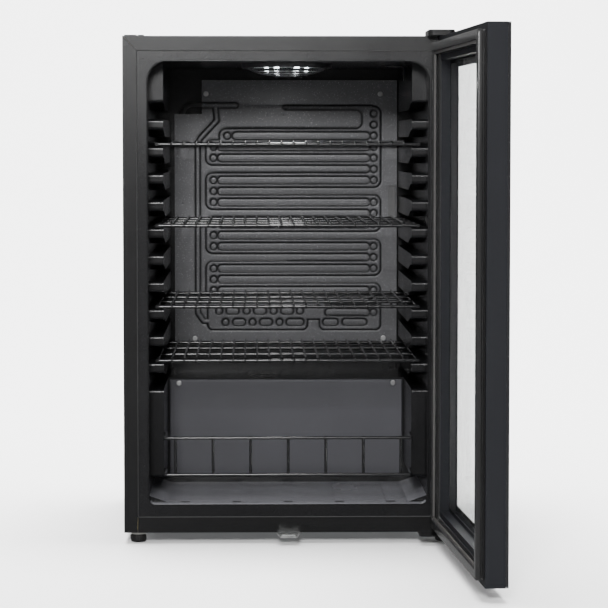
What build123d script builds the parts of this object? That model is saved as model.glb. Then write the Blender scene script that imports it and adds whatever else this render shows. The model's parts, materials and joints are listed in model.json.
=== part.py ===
"""A compact glass-door merchandiser: an insulated steel cabinet with wire shelves, a double-glazed
door on two pins, a roll-bond evaporator inside and a sealed cooling unit at the back.

Lengths are millimetres. The cabinet frame has x to the right, y from the front face to the back
and z up from the floor, with x = 0 in the middle. The door frame has its origin on the hinge axis:
u runs along the closed door to the right, v from its outer side to the cabinet, z up. The door
stands open, and the part's origin is on the floor under the middle of the whole open object.
"""

import math
import os

from build123d import *

os.makedirs("parts", exist_ok=True)

# ---------------------------------------------------------------- cabinet sizes
width = 445.0
body_height = 671.0
body_depth = 430.0
foot_height = 15.0
foot_inset = 18.5
hinge_foot_inset = 11.2
sheet = 0.8
side_strip = 18.4
top_strip = 18.9
rail_height = 20.5
strip_lip = 10.0
seam = 0.8
seam_end = 1.0
liner_wall = 2.0
liner_recess = 1.0
side_flange = 15.3
top_flange = 15.0
bottom_flange = 18.5
cabin_depth = 390.0
top_corner = 26.0
bottom_corner = 8.0
step_height = 151.0
step_depth = 164.0

# ---------------------------------------------------------------- shelves and their runners
runner_depth = 19.0
runner_front = 52.0
runner_pitch = 37.0
runner_height = 14.5
runner_tail = 24.0
runner_flare = 26.0
runner_round = 4.0
runner_count = 10
gutter_low = 63.0
gutter_high = 84.0
shelf_levels = (1, 3, 6, 9)
shelf_width = 362.0
shelf_length = 316.0
shelf_rod = 5.0
shelf_wire = 3.0
wire_pitch = 16.7
wire_count = 20
weld = 0.4

# ---------------------------------------------------------------- door sizes
door_width = 445.0
door_thickness = 28.0
door_clearance = 1.5
door_gap = 11.0
hinge_inset = 12.0
hinge_reach = 19.4
open_angle = 93.2
door_border = 32.0
door_rebate = 18.5
lip_depth = 12.0
inner_pane = 3.0
outer_pane = 4.0
gasket_inset = 10.0
gasket_width = 14.0
gasket_clear = 0.4
pin_radius = 4.0
pin_clearance = 0.05
pin_length = 16.0
bush_wall = 2.0

# ---------------------------------------------------------------- cooling unit and fittings
machine_front = 259.0
machine_top = 178.0
condenser_gap = 26.0
condenser_tube = 5.0
evaporator_width = 332.0
evaporator_low = 239.0
evaporator_high = 636.0
evaporator_standoff = 8.0
plate_thickness = 1.6
bracket_thickness = 2.5
cover_height = 7.7
cover_width = 36.0
cover_wall = 1.5
clear = 0.3

# ---------------------------------------------------------------- worked out from the above
top = foot_height + body_height
opening_half = width / 2 - side_strip - side_flange
floor_level = foot_height + rail_height + bottom_flange
ceiling = top - top_strip - top_flange
step_top = floor_level + step_height
step_front = cabin_depth - step_depth
runner_half = opening_half - runner_depth
base_runner = step_top
hinge_x = width / 2 - hinge_inset
door_inner = hinge_reach - door_gap
door_outer = door_inner - door_thickness
door_low = foot_height + door_clearance
door_high = top - door_clearance
door_left = hinge_inset - door_width
gasket_face = hinge_reach - gasket_clear
glass_back = door_inner - lip_depth
pane_back = door_outer + outer_pane
evaporator_back = cabin_depth - evaporator_standoff
evaporator_front = evaporator_back - plate_thickness
total_depth = body_depth + condenser_gap + condenser_tube

# The whole open object runs from the cabinet's left side to the door's outer corner, and from the
# door's free end to the condenser, and the origin is in the middle of that.
turn = math.radians(open_angle)
door_right = hinge_x + door_left * math.cos(turn) - door_outer * math.sin(turn)
door_front = -hinge_reach + door_left * math.sin(turn) + door_inner * math.cos(turn)
shift_x = (width / 2 - door_right) / 2
shift_y = -(door_front + total_depth) / 2

cabinet = Plane(origin=(shift_x, shift_y, 0))
door = Plane(
    origin=(shift_x + hinge_x, shift_y - hinge_reach, 0),
    x_dir=(math.cos(turn), math.sin(turn), 0),
    z_dir=(0, 0, 1),
)


# ---------------------------------------------------------------- planes and shared shapes
def level(base, z):
    """The plane parallel to the floor at height z, x and y as in the base frame."""
    return base.offset(z)


def facing(base, y):
    """The upright plane at depth y: its x runs right, its y up, and its normal to the front."""
    return Plane(base.from_local_coords(Vector(0, y, 0)), x_dir=base.x_dir, z_dir=-base.y_dir)


def across(base, x):
    """The upright plane at x: its x runs to the back, its y up, and its normal to the right."""
    return Plane(base.from_local_coords(Vector(x, 0, 0)), x_dir=base.y_dir, z_dir=base.x_dir)


def block(x, y, z, mode=Mode.ADD):
    """A box between pairs of (low, high) along each axis of the frame that is being built in."""
    with Locations(((x[0] + x[1]) / 2, (y[0] + y[1]) / 2, (z[0] + z[1]) / 2)):
        Box(x[1] - x[0], y[1] - y[0], z[1] - z[0], mode=mode)


def disc(plane, points, radius, height, mode=Mode.ADD):
    """Round bars of one height standing on a plane at the given points."""
    with BuildSketch(plane) as rounds:
        with Locations(*points):
            Circle(radius)
    extrude(rounds.sketch, amount=height, mode=mode)


def ring_frame(plane, centre, outer, border, height, mode=Mode.ADD):
    """A rectangular ring, outer being its (width, height) and border its width all round."""
    with BuildSketch(plane) as outline:
        with Locations(centre):
            Rectangle(outer[0], outer[1])
            Rectangle(outer[0] - 2 * border, outer[1] - 2 * border, mode=Mode.SUBTRACT)
    extrude(outline.sketch, amount=height, mode=mode)


def cross_screws(plane, points, length, head=4.0, shank=1.9):
    """Pan-head screws whose heads stand on the plane and whose shanks go down through it."""
    head_height = head * 0.55
    disc(plane, points, head, head_height)
    disc(plane, points, shank, -length)
    rounds = edges().filter_by(GeomType.CIRCLE)
    rims = [e for e in rounds if abs(plane.to_local_coords(e.arc_center).Z - head_height) < 0.01]
    fillet(rims, head_height * 0.45)
    recess = head * 0.28
    with BuildSketch(plane.offset(head_height)) as cross:
        with Locations(*points):
            Rectangle(head * 1.1, recess)
            Rectangle(recess, head * 1.1)
    extrude(cross.sketch, amount=-head_height * 0.45, mode=Mode.SUBTRACT)


def finish(piece, name):
    """Name a finished piece and write it to its own file."""
    piece.part.label = name
    export_step(piece.part, f"parts/{name}.step")


# ---------------------------------------------------------------- fastener and pipe places
hinge_screw_points = [
    (width / 2 - 28.5, 12.0),
    (width / 2 - 28.5, 27.0),
    (width / 2 - 8.5, 27.0),
]
base_screw_points = [(width / 2 - 39.0, 8.0), (width / 2 - 39.0, 30.0)]
strike_screw_points = [(-8.0, 14.0), (8.0, 14.0)]
foot_points = [(-width / 2 + foot_inset, 20.0), (width / 2 - hinge_foot_inset, 20.0)]
rear_foot_points = [(-width / 2 + 24.0, body_depth - 26.0), (width / 2 - 24.0, body_depth - 26.0)]
evaporator_screws = [(-117.0, 615.6), (143.0, 615.6), (-134.0, 250.0), (148.0, 250.0)]
panel_screws = [(-154.0, step_top - 7.5), (154.0, step_top - 7.5)]
drain_x = -140.0
drain_y = cabin_depth - 20.0
drain_radius = 4.0
foot_stud = 4.0
foot_hole = foot_stud + 0.1
grommet_points = [(-105.0, 285.0), (5.0, 285.0), (-105.0, 405.0), (5.0, 405.0)]
compressor_x = -50.0
compressor_y = 345.0

# ================================================================ cabinet shell
with BuildPart(cabinet) as outer_wrap:
    block((-width / 2, width / 2), (0, body_depth), (foot_height, top))
    block(
        (-width / 2 + sheet, width / 2 - sheet),
        (sheet, body_depth),
        (foot_height, top - sheet),
        mode=Mode.SUBTRACT,
    )
    block(
        (-width / 2 + side_strip, width / 2 - side_strip),
        (0, sheet),
        (foot_height, top - top_strip),
        mode=Mode.SUBTRACT,
    )
    # The strips' inner edges turn back into the foam.
    for side in (-1, 1):
        lip = sorted((side * (width / 2 - side_strip), side * (width / 2 - side_strip + sheet)))
        block(lip, (0, strip_lip), (foot_height + rail_height, top - top_strip))
    block(
        (-width / 2 + side_strip - sheet, width / 2 - side_strip + sheet),
        (0, strip_lip),
        (top - top_strip, top - top_strip + sheet),
    )
    # An open mitre seam crosses the face at each top corner, and stops short of both folds.
    for side in (-1, 1):
        outer_end = (side * (width / 2 - sheet - seam_end), top - sheet - seam_end)
        inner_end = (
            side * (width / 2 - side_strip + sheet + seam_end),
            top - top_strip + sheet + seam_end,
        )
        with BuildSketch(facing(cabinet, 0)) as mitre:
            with BuildLine():
                Polyline(
                    outer_end,
                    inner_end,
                    (inner_end[0] - side * seam, inner_end[1]),
                    (outer_end[0] - side * seam, outer_end[1]),
                    close=True,
                )
            make_face()
        extrude(amount=-sheet, mode=Mode.SUBTRACT)
finish(outer_wrap, "outer_wrap")

with BuildPart(cabinet) as bottom_rail:
    rail_half = width / 2 - side_strip - seam / 2
    block((-rail_half, rail_half), (0, 12.0), (foot_height, foot_height + rail_height))
    block(
        (-rail_half, rail_half),
        (sheet, 12.0),
        (foot_height + sheet, foot_height + rail_height - sheet),
        mode=Mode.SUBTRACT,
    )
finish(bottom_rail, "bottom_rail")


def mouth(grow):
    """The outline of the cabin's mouth, grown outwards by a distance."""
    with BuildSketch() as outline:
        with Locations((0, (floor_level + ceiling) / 2)):
            Rectangle(2 * (opening_half + grow), ceiling - floor_level + 2 * grow)
        fillet(outline.vertices().group_by(Axis.Y)[-1], top_corner + grow)
        fillet(outline.vertices().group_by(Axis.Y)[0], bottom_corner + grow)
    return outline.sketch


def cabin(grow):
    """The cold space, with its raised step at the back, grown outwards by a distance."""
    half = opening_half + grow
    low = floor_level - grow
    with BuildPart() as space:
        with BuildSketch(facing(Plane.XY, liner_recess)):
            add(mouth(grow))
        extrude(amount=-(cabin_depth - liner_recess + grow))
        block(
            (-half - 1, half + 1),
            (step_front + grow, cabin_depth + grow + 1),
            (low - 1, step_top - grow),
            mode=Mode.SUBTRACT,
        )
    return space.part


def runner_outline(front_high, front_low, back_high):
    """Corners of one runner's side view: behind its flared mouth it grows deeper downwards."""
    back_low = front_low - runner_tail + runner_height
    return [
        (runner_front, front_high),
        (cabin_depth, back_high),
        (cabin_depth, back_low),
        (runner_front + runner_flare + 54.0, back_low),
        (runner_front + runner_flare, front_low),
        (runner_front, front_low),
    ]


runner_tops = [base_runner + runner_pitch * (count + 1) for count in range(runner_count)]
runners_of_wall = [runner_outline(high, high - runner_height, high) for high in runner_tops]
header_low = runner_tops[-1] + runner_pitch - runner_height
runners_of_wall.append(runner_outline(ceiling, header_low, ceiling))
guard_half = runner_half - 2.6
guard_wire = 4.0
guard_levels = (93.4, 143.4)
guard_hook_y = 60.0

def liner_skin():
    """The liner's plain wall round the cold space."""
    with BuildPart() as skin:
        add(cabin(liner_wall))
        add(cabin(0), mode=Mode.SUBTRACT)
    return skin.part


with BuildPart(cabinet) as liner:
    # Runners line both walls and a gutter slopes up to each from the floor. They are trimmed to
    # the rounded cabin before the wall joins them.
    for side in (-1, 1):
        with BuildSketch(across(cabinet, side * opening_half)) as runners:
            for corners in runners_of_wall:
                with BuildLine():
                    Polyline(*corners, close=True)
                make_face()
            with Locations(((runner_front + step_front) / 2, (gutter_high + step_top) / 2)):
                Rectangle(step_front - runner_front, step_top - gutter_high)
            fronts = runners.vertices().group_by(Axis.X)[0]
            fillet(fronts.filter_by(lambda corner: corner.Y < ceiling - 1), runner_round)
        extrude(amount=-side * runner_depth)
        with BuildSketch(facing(cabinet, 18.0)):
            with BuildLine():
                Polyline(
                    (side * opening_half, floor_level),
                    (side * (runner_half - 6), floor_level),
                    (side * opening_half, gutter_low),
                    close=True,
                )
            make_face()
        extrude(amount=-(step_front - 18.0))
    add(cabin(liner_wall / 2), mode=Mode.INTERSECT)
    add(liner_skin())
    with BuildSketch(facing(cabinet, liner_recess)) as flange:
        with Locations((0, (foot_height + rail_height + top - top_strip) / 2)):
            Rectangle(
                width - 2 * side_strip - 2 * seam,
                top - top_strip - foot_height - rail_height - 2 * seam,
            )
        add(mouth(liner_wall / 2), mode=Mode.SUBTRACT)
    extrude(amount=-liner_wall)
    # Shallow ribs stiffen the floor.
    for rib in range(-2, 3):
        block((rib * 70 - 6, rib * 70 + 6), (18.0, step_front - 12), (floor_level, floor_level + 1.5))
    # Bosses carry the evaporator, and holes take the hooks of the guard, the screws and the drain.
    disc(facing(cabinet, cabin_depth), evaporator_screws, 6.0, evaporator_standoff)
    disc(facing(cabinet, evaporator_back), evaporator_screws, 2.0, -10.0, mode=Mode.SUBTRACT)
    disc(facing(cabinet, step_front), panel_screws, 2.0, -liner_wall, mode=Mode.SUBTRACT)
    for side in (-1, 1):
        hook_reach = sorted((side * (runner_half - 1), side * (runner_half + 8)))
        for z in guard_levels:
            slot_z = (z - guard_wire / 2 - 0.2, z + guard_wire / 2 + 0.2)
            block(hook_reach, (guard_hook_y - 5.5, guard_hook_y + 2.2), slot_z, Mode.SUBTRACT)
    disc(level(cabinet, step_top), [(drain_x, drain_y)], drain_radius, -liner_wall, mode=Mode.SUBTRACT)
finish(liner, "liner")

with BuildPart(cabinet) as base_pan:
    half = width / 2 - sheet
    with BuildSketch(across(cabinet, 0)) as bend:
        with BuildLine():
            Polyline(
                (12.0, foot_height),
                (machine_front, foot_height),
                (machine_front, machine_top),
                (body_depth - sheet, machine_top),
                (body_depth - sheet, machine_top + sheet),
                (machine_front - sheet, machine_top + sheet),
                (machine_front - sheet, foot_height + sheet),
                (12.0, foot_height + sheet),
                close=True,
            )
        make_face()
    extrude(amount=half, both=True)
    disc(level(cabinet, foot_height), foot_points, foot_hole, sheet, mode=Mode.SUBTRACT)
    disc(
        level(cabinet, machine_top),
        [(drain_x, drain_y)],
        drain_radius,
        sheet,
        mode=Mode.SUBTRACT,
    )
finish(base_pan, "base_pan")

with BuildPart(cabinet) as foam_body:
    half = width / 2 - sheet
    block((-half, half), (strip_lip, body_depth - sheet), (foot_height + sheet, top - sheet))
    add(cabin(liner_wall), mode=Mode.SUBTRACT)
    block(
        (-half, half),
        (machine_front - sheet, body_depth),
        (foot_height, machine_top + sheet),
        mode=Mode.SUBTRACT,
    )
    block((-half, half), (0, 12.0), (0, foot_height + rail_height), mode=Mode.SUBTRACT)
    disc(level(cabinet, foot_height), foot_points, foot_stud + 1, 33.0, mode=Mode.SUBTRACT)
    disc(level(cabinet, machine_top), [(drain_x, drain_y)], drain_radius, 40, mode=Mode.SUBTRACT)
    disc(facing(cabinet, evaporator_back), evaporator_screws, 2.0, -14.0, mode=Mode.SUBTRACT)
    disc(facing(cabinet, step_front), panel_screws, 2.0, -12.0, mode=Mode.SUBTRACT)
finish(foam_body, "foam_body")

with BuildPart(cabinet) as back_panel:
    half = width / 2 - sheet
    block((-half, half), (body_depth - sheet, body_depth), (machine_top, top - sheet))
finish(back_panel, "back_panel")

# ================================================================ hinges, caps, lock strike
bracket_front = -hinge_reach - 8.0
bracket_right = width / 2 - 1.5
top_bracket_left = width / 2 - cover_width + 2.0
base_bracket_left = width / 2 - 46.0
pin_point = [(hinge_x, -hinge_reach)]


def bracket(z, left, back, holes):
    """A flat hinge plate with a rounded nose under or over the door's corner."""
    with BuildSketch(level(cabinet, z)) as plate:
        with Locations(((left + bracket_right) / 2, (bracket_front + back) / 2)):
            Rectangle(bracket_right - left, back - bracket_front)
        fillet(plate.vertices().group_by(Axis.Y)[0], 6.0)
        with Locations(*holes):
            Circle(2.0, mode=Mode.SUBTRACT)
        with Locations(*pin_point):
            Circle(pin_radius, mode=Mode.SUBTRACT)
    extrude(plate.sketch, amount=bracket_thickness)


with BuildPart(cabinet) as top_hinge_bracket:
    bracket(top, top_bracket_left, 34.0, hinge_screw_points)
finish(top_hinge_bracket, "top_hinge_bracket")

with BuildPart(cabinet) as bottom_hinge_bracket:
    bracket(foot_height - bracket_thickness, base_bracket_left, 38.0, base_screw_points)
    disc(
        level(cabinet, foot_height - bracket_thickness),
        [foot_points[1]],
        foot_hole,
        bracket_thickness,
        mode=Mode.SUBTRACT,
    )
finish(bottom_hinge_bracket, "bottom_hinge_bracket")

with BuildPart(cabinet) as hinge_pins:
    disc(level(cabinet, top + bracket_thickness), pin_point, pin_radius, -bracket_thickness - pin_length)
    disc(
        level(cabinet, foot_height - bracket_thickness),
        pin_point,
        pin_radius,
        bracket_thickness + pin_length,
    )
    chamfer(edges().filter_by(GeomType.CIRCLE), 0.6)
finish(hinge_pins, "hinge_pins")

with BuildPart(cabinet) as top_hinge_cover:
    cover_left = width / 2 - cover_width
    cover_front = bracket_front - cover_wall - 0.3
    cover_back = 38.0
    with BuildSketch(level(cabinet, top)) as cap:
        with Locations(((cover_left + width / 2) / 2, (cover_front + cover_back) / 2)):
            Rectangle(cover_width, cover_back - cover_front)
        fillet(cap.vertices().group_by(Axis.Y)[0], 7.5)
    extrude(amount=cover_height)
    fillet(top_hinge_cover.faces().sort_by(Axis.Z)[-1].edges(), 1.6)
    with BuildSketch(level(cabinet, top)) as hollow:
        inner_left = cover_left + cover_wall
        inner_right = width / 2 - cover_wall + 0.2
        inner_front = cover_front + cover_wall
        with Locations(((inner_left + inner_right) / 2, (inner_front + cover_back - cover_wall) / 2)):
            Rectangle(inner_right - inner_left, cover_back - cover_wall - inner_front)
        fillet(hollow.vertices().group_by(Axis.Y)[0], 6.0)
    extrude(amount=cover_height - cover_wall, mode=Mode.SUBTRACT)
finish(top_hinge_cover, "top_hinge_cover")

with BuildPart(cabinet) as hinge_hole_caps:
    with BuildSketch(level(cabinet, top)) as caps:
        with Locations((-width / 2 + 10.5, 16.0)):
            RectangleRounded(17.0, 14.0, 2.0)
        with Locations((-width / 2 + 24.5, 16.0)):
            Circle(4.5)
    extrude(amount=1.8)
    fillet(faces().filter_by(Axis.Z).group_by(Axis.Z)[-1].edges(), 0.7)
finish(hinge_hole_caps, "hinge_hole_caps")

strike_front = -37.0
window_front = -34.8
window_back = -21.0
window_half = 9.3

with BuildPart(cabinet) as lock_strike:
    with BuildSketch(level(cabinet, foot_height - 2)) as tab:
        with BuildLine():
            Polyline(
                (-15.5, 24.0), (-15.5, 0.0), (-11.0, strike_front),
                (11.0, strike_front), (15.5, 0.0), (15.5, 24.0), close=True,
            )
        make_face()
        fillet(tab.vertices().group_by(Axis.Y)[0], 1.5)
        with Locations((0, (window_front + window_back) / 2)):
            Rectangle(2 * window_half, window_back - window_front, mode=Mode.SUBTRACT)
        with Locations(*strike_screw_points):
            Circle(2.0, mode=Mode.SUBTRACT)
    extrude(amount=2.0)
finish(lock_strike, "lock_strike")

with BuildPart(cabinet) as frame_screws:
    cross_screws(level(cabinet, top + bracket_thickness), hinge_screw_points, bracket_thickness)
    under = Plane(
        level(cabinet, foot_height - bracket_thickness).origin,
        x_dir=cabinet.x_dir,
        z_dir=(0, 0, -1),
    )
    flipped = [(x, -y) for x, y in base_screw_points]
    cross_screws(under, flipped, bracket_thickness)
    cross_screws(under.offset(-0.5), [(x, -y) for x, y in strike_screw_points], 2.0)
finish(frame_screws, "frame_screws")

# ================================================================ feet
washer_height = 1.5
foot_gap = 0.1

with BuildPart(cabinet) as foot_washers:
    seat = foot_height - bracket_thickness - washer_height
    disc(level(cabinet, seat), [foot_points[0]], 9.5, washer_height + bracket_thickness)
    disc(level(cabinet, seat), [foot_points[1]], 9.5, washer_height)
    disc(level(cabinet, seat), foot_points, foot_hole, 10.0, mode=Mode.SUBTRACT)
finish(foot_washers, "foot_washers")

for name, point in zip(("front_left_foot", "front_right_foot"), foot_points):
    with BuildPart(cabinet) as foot:
        pad_height = foot_height - bracket_thickness - washer_height - foot_gap
        disc(level(cabinet, 0), [point], 10.8, pad_height)
        fillet(foot.edges().group_by(Axis.Z)[0], 2.5)
        with BuildSketch(level(cabinet, 3.0)) as grip:
            with Locations(point):
                with PolarLocations(10.8, 24):
                    Circle(0.5)
        extrude(amount=pad_height - 4.5, mode=Mode.SUBTRACT)
        disc(level(cabinet, pad_height), [point], foot_stud, 34.0)
    finish(foot, name)

with BuildPart(cabinet) as rear_feet:
    disc(level(cabinet, 0), rear_foot_points, 14.0, foot_height)
    fillet(rear_feet.edges().group_by(Axis.Z)[0], 2.5)
finish(rear_feet, "rear_feet")

# ================================================================ lamp in the cabin's ceiling
lamp_y = 150.0
lamp_radius = 63.0
lamp_rim = 5.0
lens_drop = 17.5

with BuildPart(cabinet) as lamp_housing:
    disc(level(cabinet, ceiling - lamp_rim), [(0, lamp_y)], lamp_radius, lamp_rim)
    disc(level(cabinet, ceiling - lamp_rim), [(0, lamp_y)], lamp_radius - 3, lamp_rim - 2, Mode.SUBTRACT)
finish(lamp_housing, "lamp_housing")

with BuildPart(cabinet) as led_board:
    disc(level(cabinet, ceiling - 3.6), [(0, lamp_y)], 46.0, 1.6)
finish(led_board, "led_board")

with BuildPart(cabinet) as lamp_leds:
    with BuildSketch(level(cabinet, ceiling - 3.6)) as chips:
        with Locations((0, lamp_y)):
            with PolarLocations(28.0, 6):
                Rectangle(5.0, 5.0)
    extrude(amount=-1.4)
finish(lamp_leds, "lamp_leds")

with BuildPart(cabinet) as lamp_lens:
    lens_radius = lamp_radius - 3.3
    lens_wall = 2.0
    rim_drop = 3.0
    cap_height = lens_drop - rim_drop
    sphere_radius = (lens_radius**2 + cap_height**2) / (2 * cap_height)
    with Locations((0, lamp_y, ceiling - lens_drop + sphere_radius)):
        Sphere(sphere_radius)
        Sphere(sphere_radius - lens_wall, mode=Mode.SUBTRACT)
    split(bisect_by=level(cabinet, ceiling - rim_drop), keep=Keep.BOTTOM)
finish(lamp_lens, "lamp_lens")

# ================================================================ evaporator and its fittings
evaporator_centre = 2.0
notch_width = 41.0
notch_height = 50.0
evaporator_left = evaporator_centre - evaporator_width / 2

with BuildPart(cabinet) as evaporator_plate:
    with BuildSketch(facing(cabinet, evaporator_back)) as plate:
        with Locations((evaporator_centre, (evaporator_low + evaporator_high) / 2)):
            Rectangle(evaporator_width, evaporator_high - evaporator_low)
        with Locations((evaporator_left, evaporator_high)):
            Rectangle(2 * notch_width, 2 * notch_height, mode=Mode.SUBTRACT)
        with Locations(*evaporator_screws):
            Circle(2.2, mode=Mode.SUBTRACT)
    extrude(amount=plate_thickness)
    # Raised passages run to and fro between two headers.
    with BuildSketch(facing(cabinet, evaporator_front)) as passages:
        for row in range(16):
            with Locations((13.0, 290.0 + 18.4 * row)):
                SlotOverall(230.0, 9.0)
    extrude(amount=1.6)
finish(evaporator_plate, "evaporator_plate")

with BuildPart(cabinet) as liner_screws:
    cross_screws(facing(cabinet, evaporator_front), evaporator_screws, 9.0)
    cross_screws(facing(cabinet, step_front - 4.0), panel_screws, 12.0)
finish(liner_screws, "liner_screws")

with BuildPart(cabinet) as suction_sleeve:
    sleeve_y = cabin_depth - 4.0
    with BuildLine(cabinet) as route:
        FilletPolyline(
            (-152.0, sleeve_y, 540.0),
            (-152.0, sleeve_y, 600.0),
            (evaporator_left + notch_width + 14.0, sleeve_y, 600.0),
            radius=16.0,
        )
    with BuildSketch(Plane(route.line @ 0, z_dir=route.line % 0)):
        Circle(3.6)
    sweep()
finish(suction_sleeve, "suction_sleeve")

with BuildPart(cabinet) as sensor_clip:
    block((154.5, 165.5), (evaporator_front - 8.2, evaporator_front - 7.2), (433.5, 479.0))
    for z in (433.5, 478.0):
        block((154.5, 165.5), (evaporator_front - 8.2, evaporator_front), (z, z + 1.0))
finish(sensor_clip, "sensor_clip")

with BuildPart(cabinet) as sensor_bulb:
    disc(level(cabinet, 436.0), [(160.0, evaporator_front - 3.6)], 3.4, 40.0)
finish(sensor_bulb, "sensor_bulb")

with BuildPart(cabinet) as drip_gutter:
    gutter_wall = 1.5
    gutter_y = (evaporator_front - 28.0, cabin_depth - 1.0)
    gutter_z = (step_top, step_top + 11.0)
    block((-runner_half + 4, runner_half - 4), gutter_y, gutter_z)
    block(
        (-runner_half + 4 + gutter_wall, runner_half - 4 - gutter_wall),
        (gutter_y[0] + gutter_wall, gutter_y[1] - gutter_wall),
        (gutter_z[0] + gutter_wall, gutter_z[1]),
        mode=Mode.SUBTRACT,
    )
    disc(level(cabinet, step_top), [(drain_x, drain_y)], drain_radius, 5.0, mode=Mode.SUBTRACT)
finish(drip_gutter, "drip_gutter")

with BuildPart(cabinet) as drain_tube:
    tube_low = 158.0
    disc(level(cabinet, tube_low), [(drain_x, drain_y)], drain_radius, step_top - tube_low + 1.5)
    disc(level(cabinet, tube_low), [(drain_x, drain_y)], 3.0, 60.0, mode=Mode.SUBTRACT)
finish(drain_tube, "drain_tube")

with BuildPart(cabinet) as step_panel:
    panel_half = runner_half - 2.5
    block((-panel_half, panel_half), (step_front - 4.0, step_front), (floor_level + 8, step_top - 2.5))
    fillet(step_panel.faces().sort_by(Axis.Y)[0].edges(), 1.5)
    disc(facing(cabinet, step_front), panel_screws, 2.2, 4.0, mode=Mode.SUBTRACT)
finish(step_panel, "step_panel")

# ================================================================ wire shelves and guard


def long_wire(front, back, rod_z):
    """One lengthwise wire in the middle plane: it lies on the rods and bends down at the front."""
    wire_z = rod_z + (shelf_rod + shelf_wire) / 2 - weld
    wire_y = front - (shelf_rod + shelf_wire) / 2 + weld
    with BuildPart() as wire:
        with BuildLine() as route:
            FilletPolyline(
                (0, back + shelf_rod / 2, wire_z),
                (0, wire_y, wire_z),
                (0, wire_y, rod_z - shelf_rod / 2),
                radius=3.5,
            )
        with BuildSketch(Plane(route.line @ 0, z_dir=route.line % 0)):
            Circle(shelf_wire / 2)
        sweep()
    return wire.part


def wire_shelf(support):
    """A welded wire shelf standing on the runners whose top is at the given height."""
    rod_z = support + clear + shelf_rod / 2
    front = runner_front - 2.0
    back = front + shelf_length
    half = shelf_width / 2 - shelf_rod / 2
    rods = [front + shelf_length * third / 3 for third in range(4)]
    with BuildPart(cabinet) as shelf:
        disc(across(cabinet, -half), [(y, rod_z) for y in rods], shelf_rod / 2, 2 * half)
        ends = [(-half, rod_z), (half, rod_z)]
        disc(facing(cabinet, front - shelf_rod / 2), ends, shelf_rod / 2, -shelf_length - shelf_rod)
        with Locations(*[((i - (wire_count - 1) / 2) * wire_pitch, 0, 0) for i in range(wire_count)]):
            add(long_wire(front, back, rod_z))
    return shelf


for number, runner in enumerate(shelf_levels, start=1):
    finish(wire_shelf(base_runner + runner_pitch * runner), f"shelf_{number}")

with BuildPart(cabinet) as guard_rail:
    guard_y = 4.0
    hook_x = runner_half + 5.0
    for z in guard_levels:
        with BuildLine(cabinet) as route:
            FilletPolyline(
                (-hook_x, guard_hook_y, z),
                (-guard_half, guard_hook_y, z),
                (-guard_half, guard_y, z),
                (guard_half, guard_y, z),
                (guard_half, guard_hook_y, z),
                (hook_x, guard_hook_y, z),
                radius=3.0,
            )
        with BuildSketch(Plane(route.line @ 0, z_dir=route.line % 0)):
            Circle(guard_wire / 2)
        sweep()
    posts = [(51.0 * i, guard_y + guard_wire - weld) for i in range(-3, 4)]
    reach = guard_levels[1] - guard_levels[0] + guard_wire
    disc(level(cabinet, guard_levels[0] - guard_wire / 2), posts, guard_wire / 2, reach)
finish(guard_rail, "guard_rail")

# ================================================================ cooling unit
tray_thickness = 1.5

with BuildPart(cabinet) as compressor_tray:
    half = width / 2 - sheet
    tray_y = (machine_front, body_depth - sheet)
    block((-half, half), tray_y, (foot_height, foot_height + tray_thickness))
    block((-half, half), (tray_y[1] - tray_thickness, tray_y[1]), (foot_height, foot_height + 16))
    block((90.0, 140.0), (tray_y[1] - tray_thickness, tray_y[1]), (foot_height, foot_height + 60))
    gland_point = [(115.0, foot_height + 40.0)]
    disc(facing(cabinet, tray_y[1]), gland_point, 7.0, tray_thickness, mode=Mode.SUBTRACT)
    disc(
        level(cabinet, foot_height),
        grommet_points,
        4.0,
        tray_thickness,
        mode=Mode.SUBTRACT,
    )
finish(compressor_tray, "compressor_tray")

with BuildPart(cabinet) as cord_gland:
    disc(facing(cabinet, tray_y[1] + 3), gland_point, 9.5, 3.0)
    disc(facing(cabinet, tray_y[1]), gland_point, 7.0, 9.0)
    disc(facing(cabinet, tray_y[1] + 3), gland_point, 4.0, 12.0, mode=Mode.SUBTRACT)
finish(cord_gland, "cord_gland")

grommet_low = foot_height + tray_thickness
grommet_high = grommet_low + 8.0
shell_low = grommet_high + 6.0
shell_radius = 56.0
shell_height = 118.0

with BuildPart(cabinet) as compressor:
    centre = (compressor_x, compressor_y)
    foot_plate = 2.5
    block((-113.0, 13.0), (277.0, 413.0), (grommet_high, grommet_high + foot_plate))
    disc(level(cabinet, grommet_high + foot_plate), [centre], shell_radius, shell_height)
    fillet(compressor.edges().group_by(Axis.Z)[-1], 26.0)
    weld_z = grommet_high + foot_plate + shell_height * 0.55
    disc(level(cabinet, weld_z), [centre], shell_radius + 4, 5.0)
    disc(level(cabinet, grommet_high), grommet_points, 3.2, foot_plate, mode=Mode.SUBTRACT)
finish(compressor, "compressor")

with BuildPart(cabinet) as compressor_grommets:
    disc(level(cabinet, grommet_low), grommet_points, 8.0, grommet_high - grommet_low)
    disc(level(cabinet, grommet_low), grommet_points, 3.2, grommet_high - grommet_low, Mode.SUBTRACT)
finish(compressor_grommets, "compressor_grommets")

with BuildPart(cabinet) as compressor_bolts:
    disc(level(cabinet, foot_height), grommet_points, 3.0, grommet_high - foot_height + 5.0)
    with BuildSketch(level(cabinet, grommet_high + foot_plate)) as heads:
        with Locations(*grommet_points):
            RegularPolygon(5.5, 6)
    extrude(amount=4.5)
finish(compressor_bolts, "compressor_bolts")

with BuildPart(cabinet) as relay_cover:
    block((compressor_x + shell_radius + 4.2, 52.0), (325.0, 372.0), (40.0, 88.0))
    fillet(relay_cover.edges().filter_by(Axis.Z), 3.0)
finish(relay_cover, "relay_cover")

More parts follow.
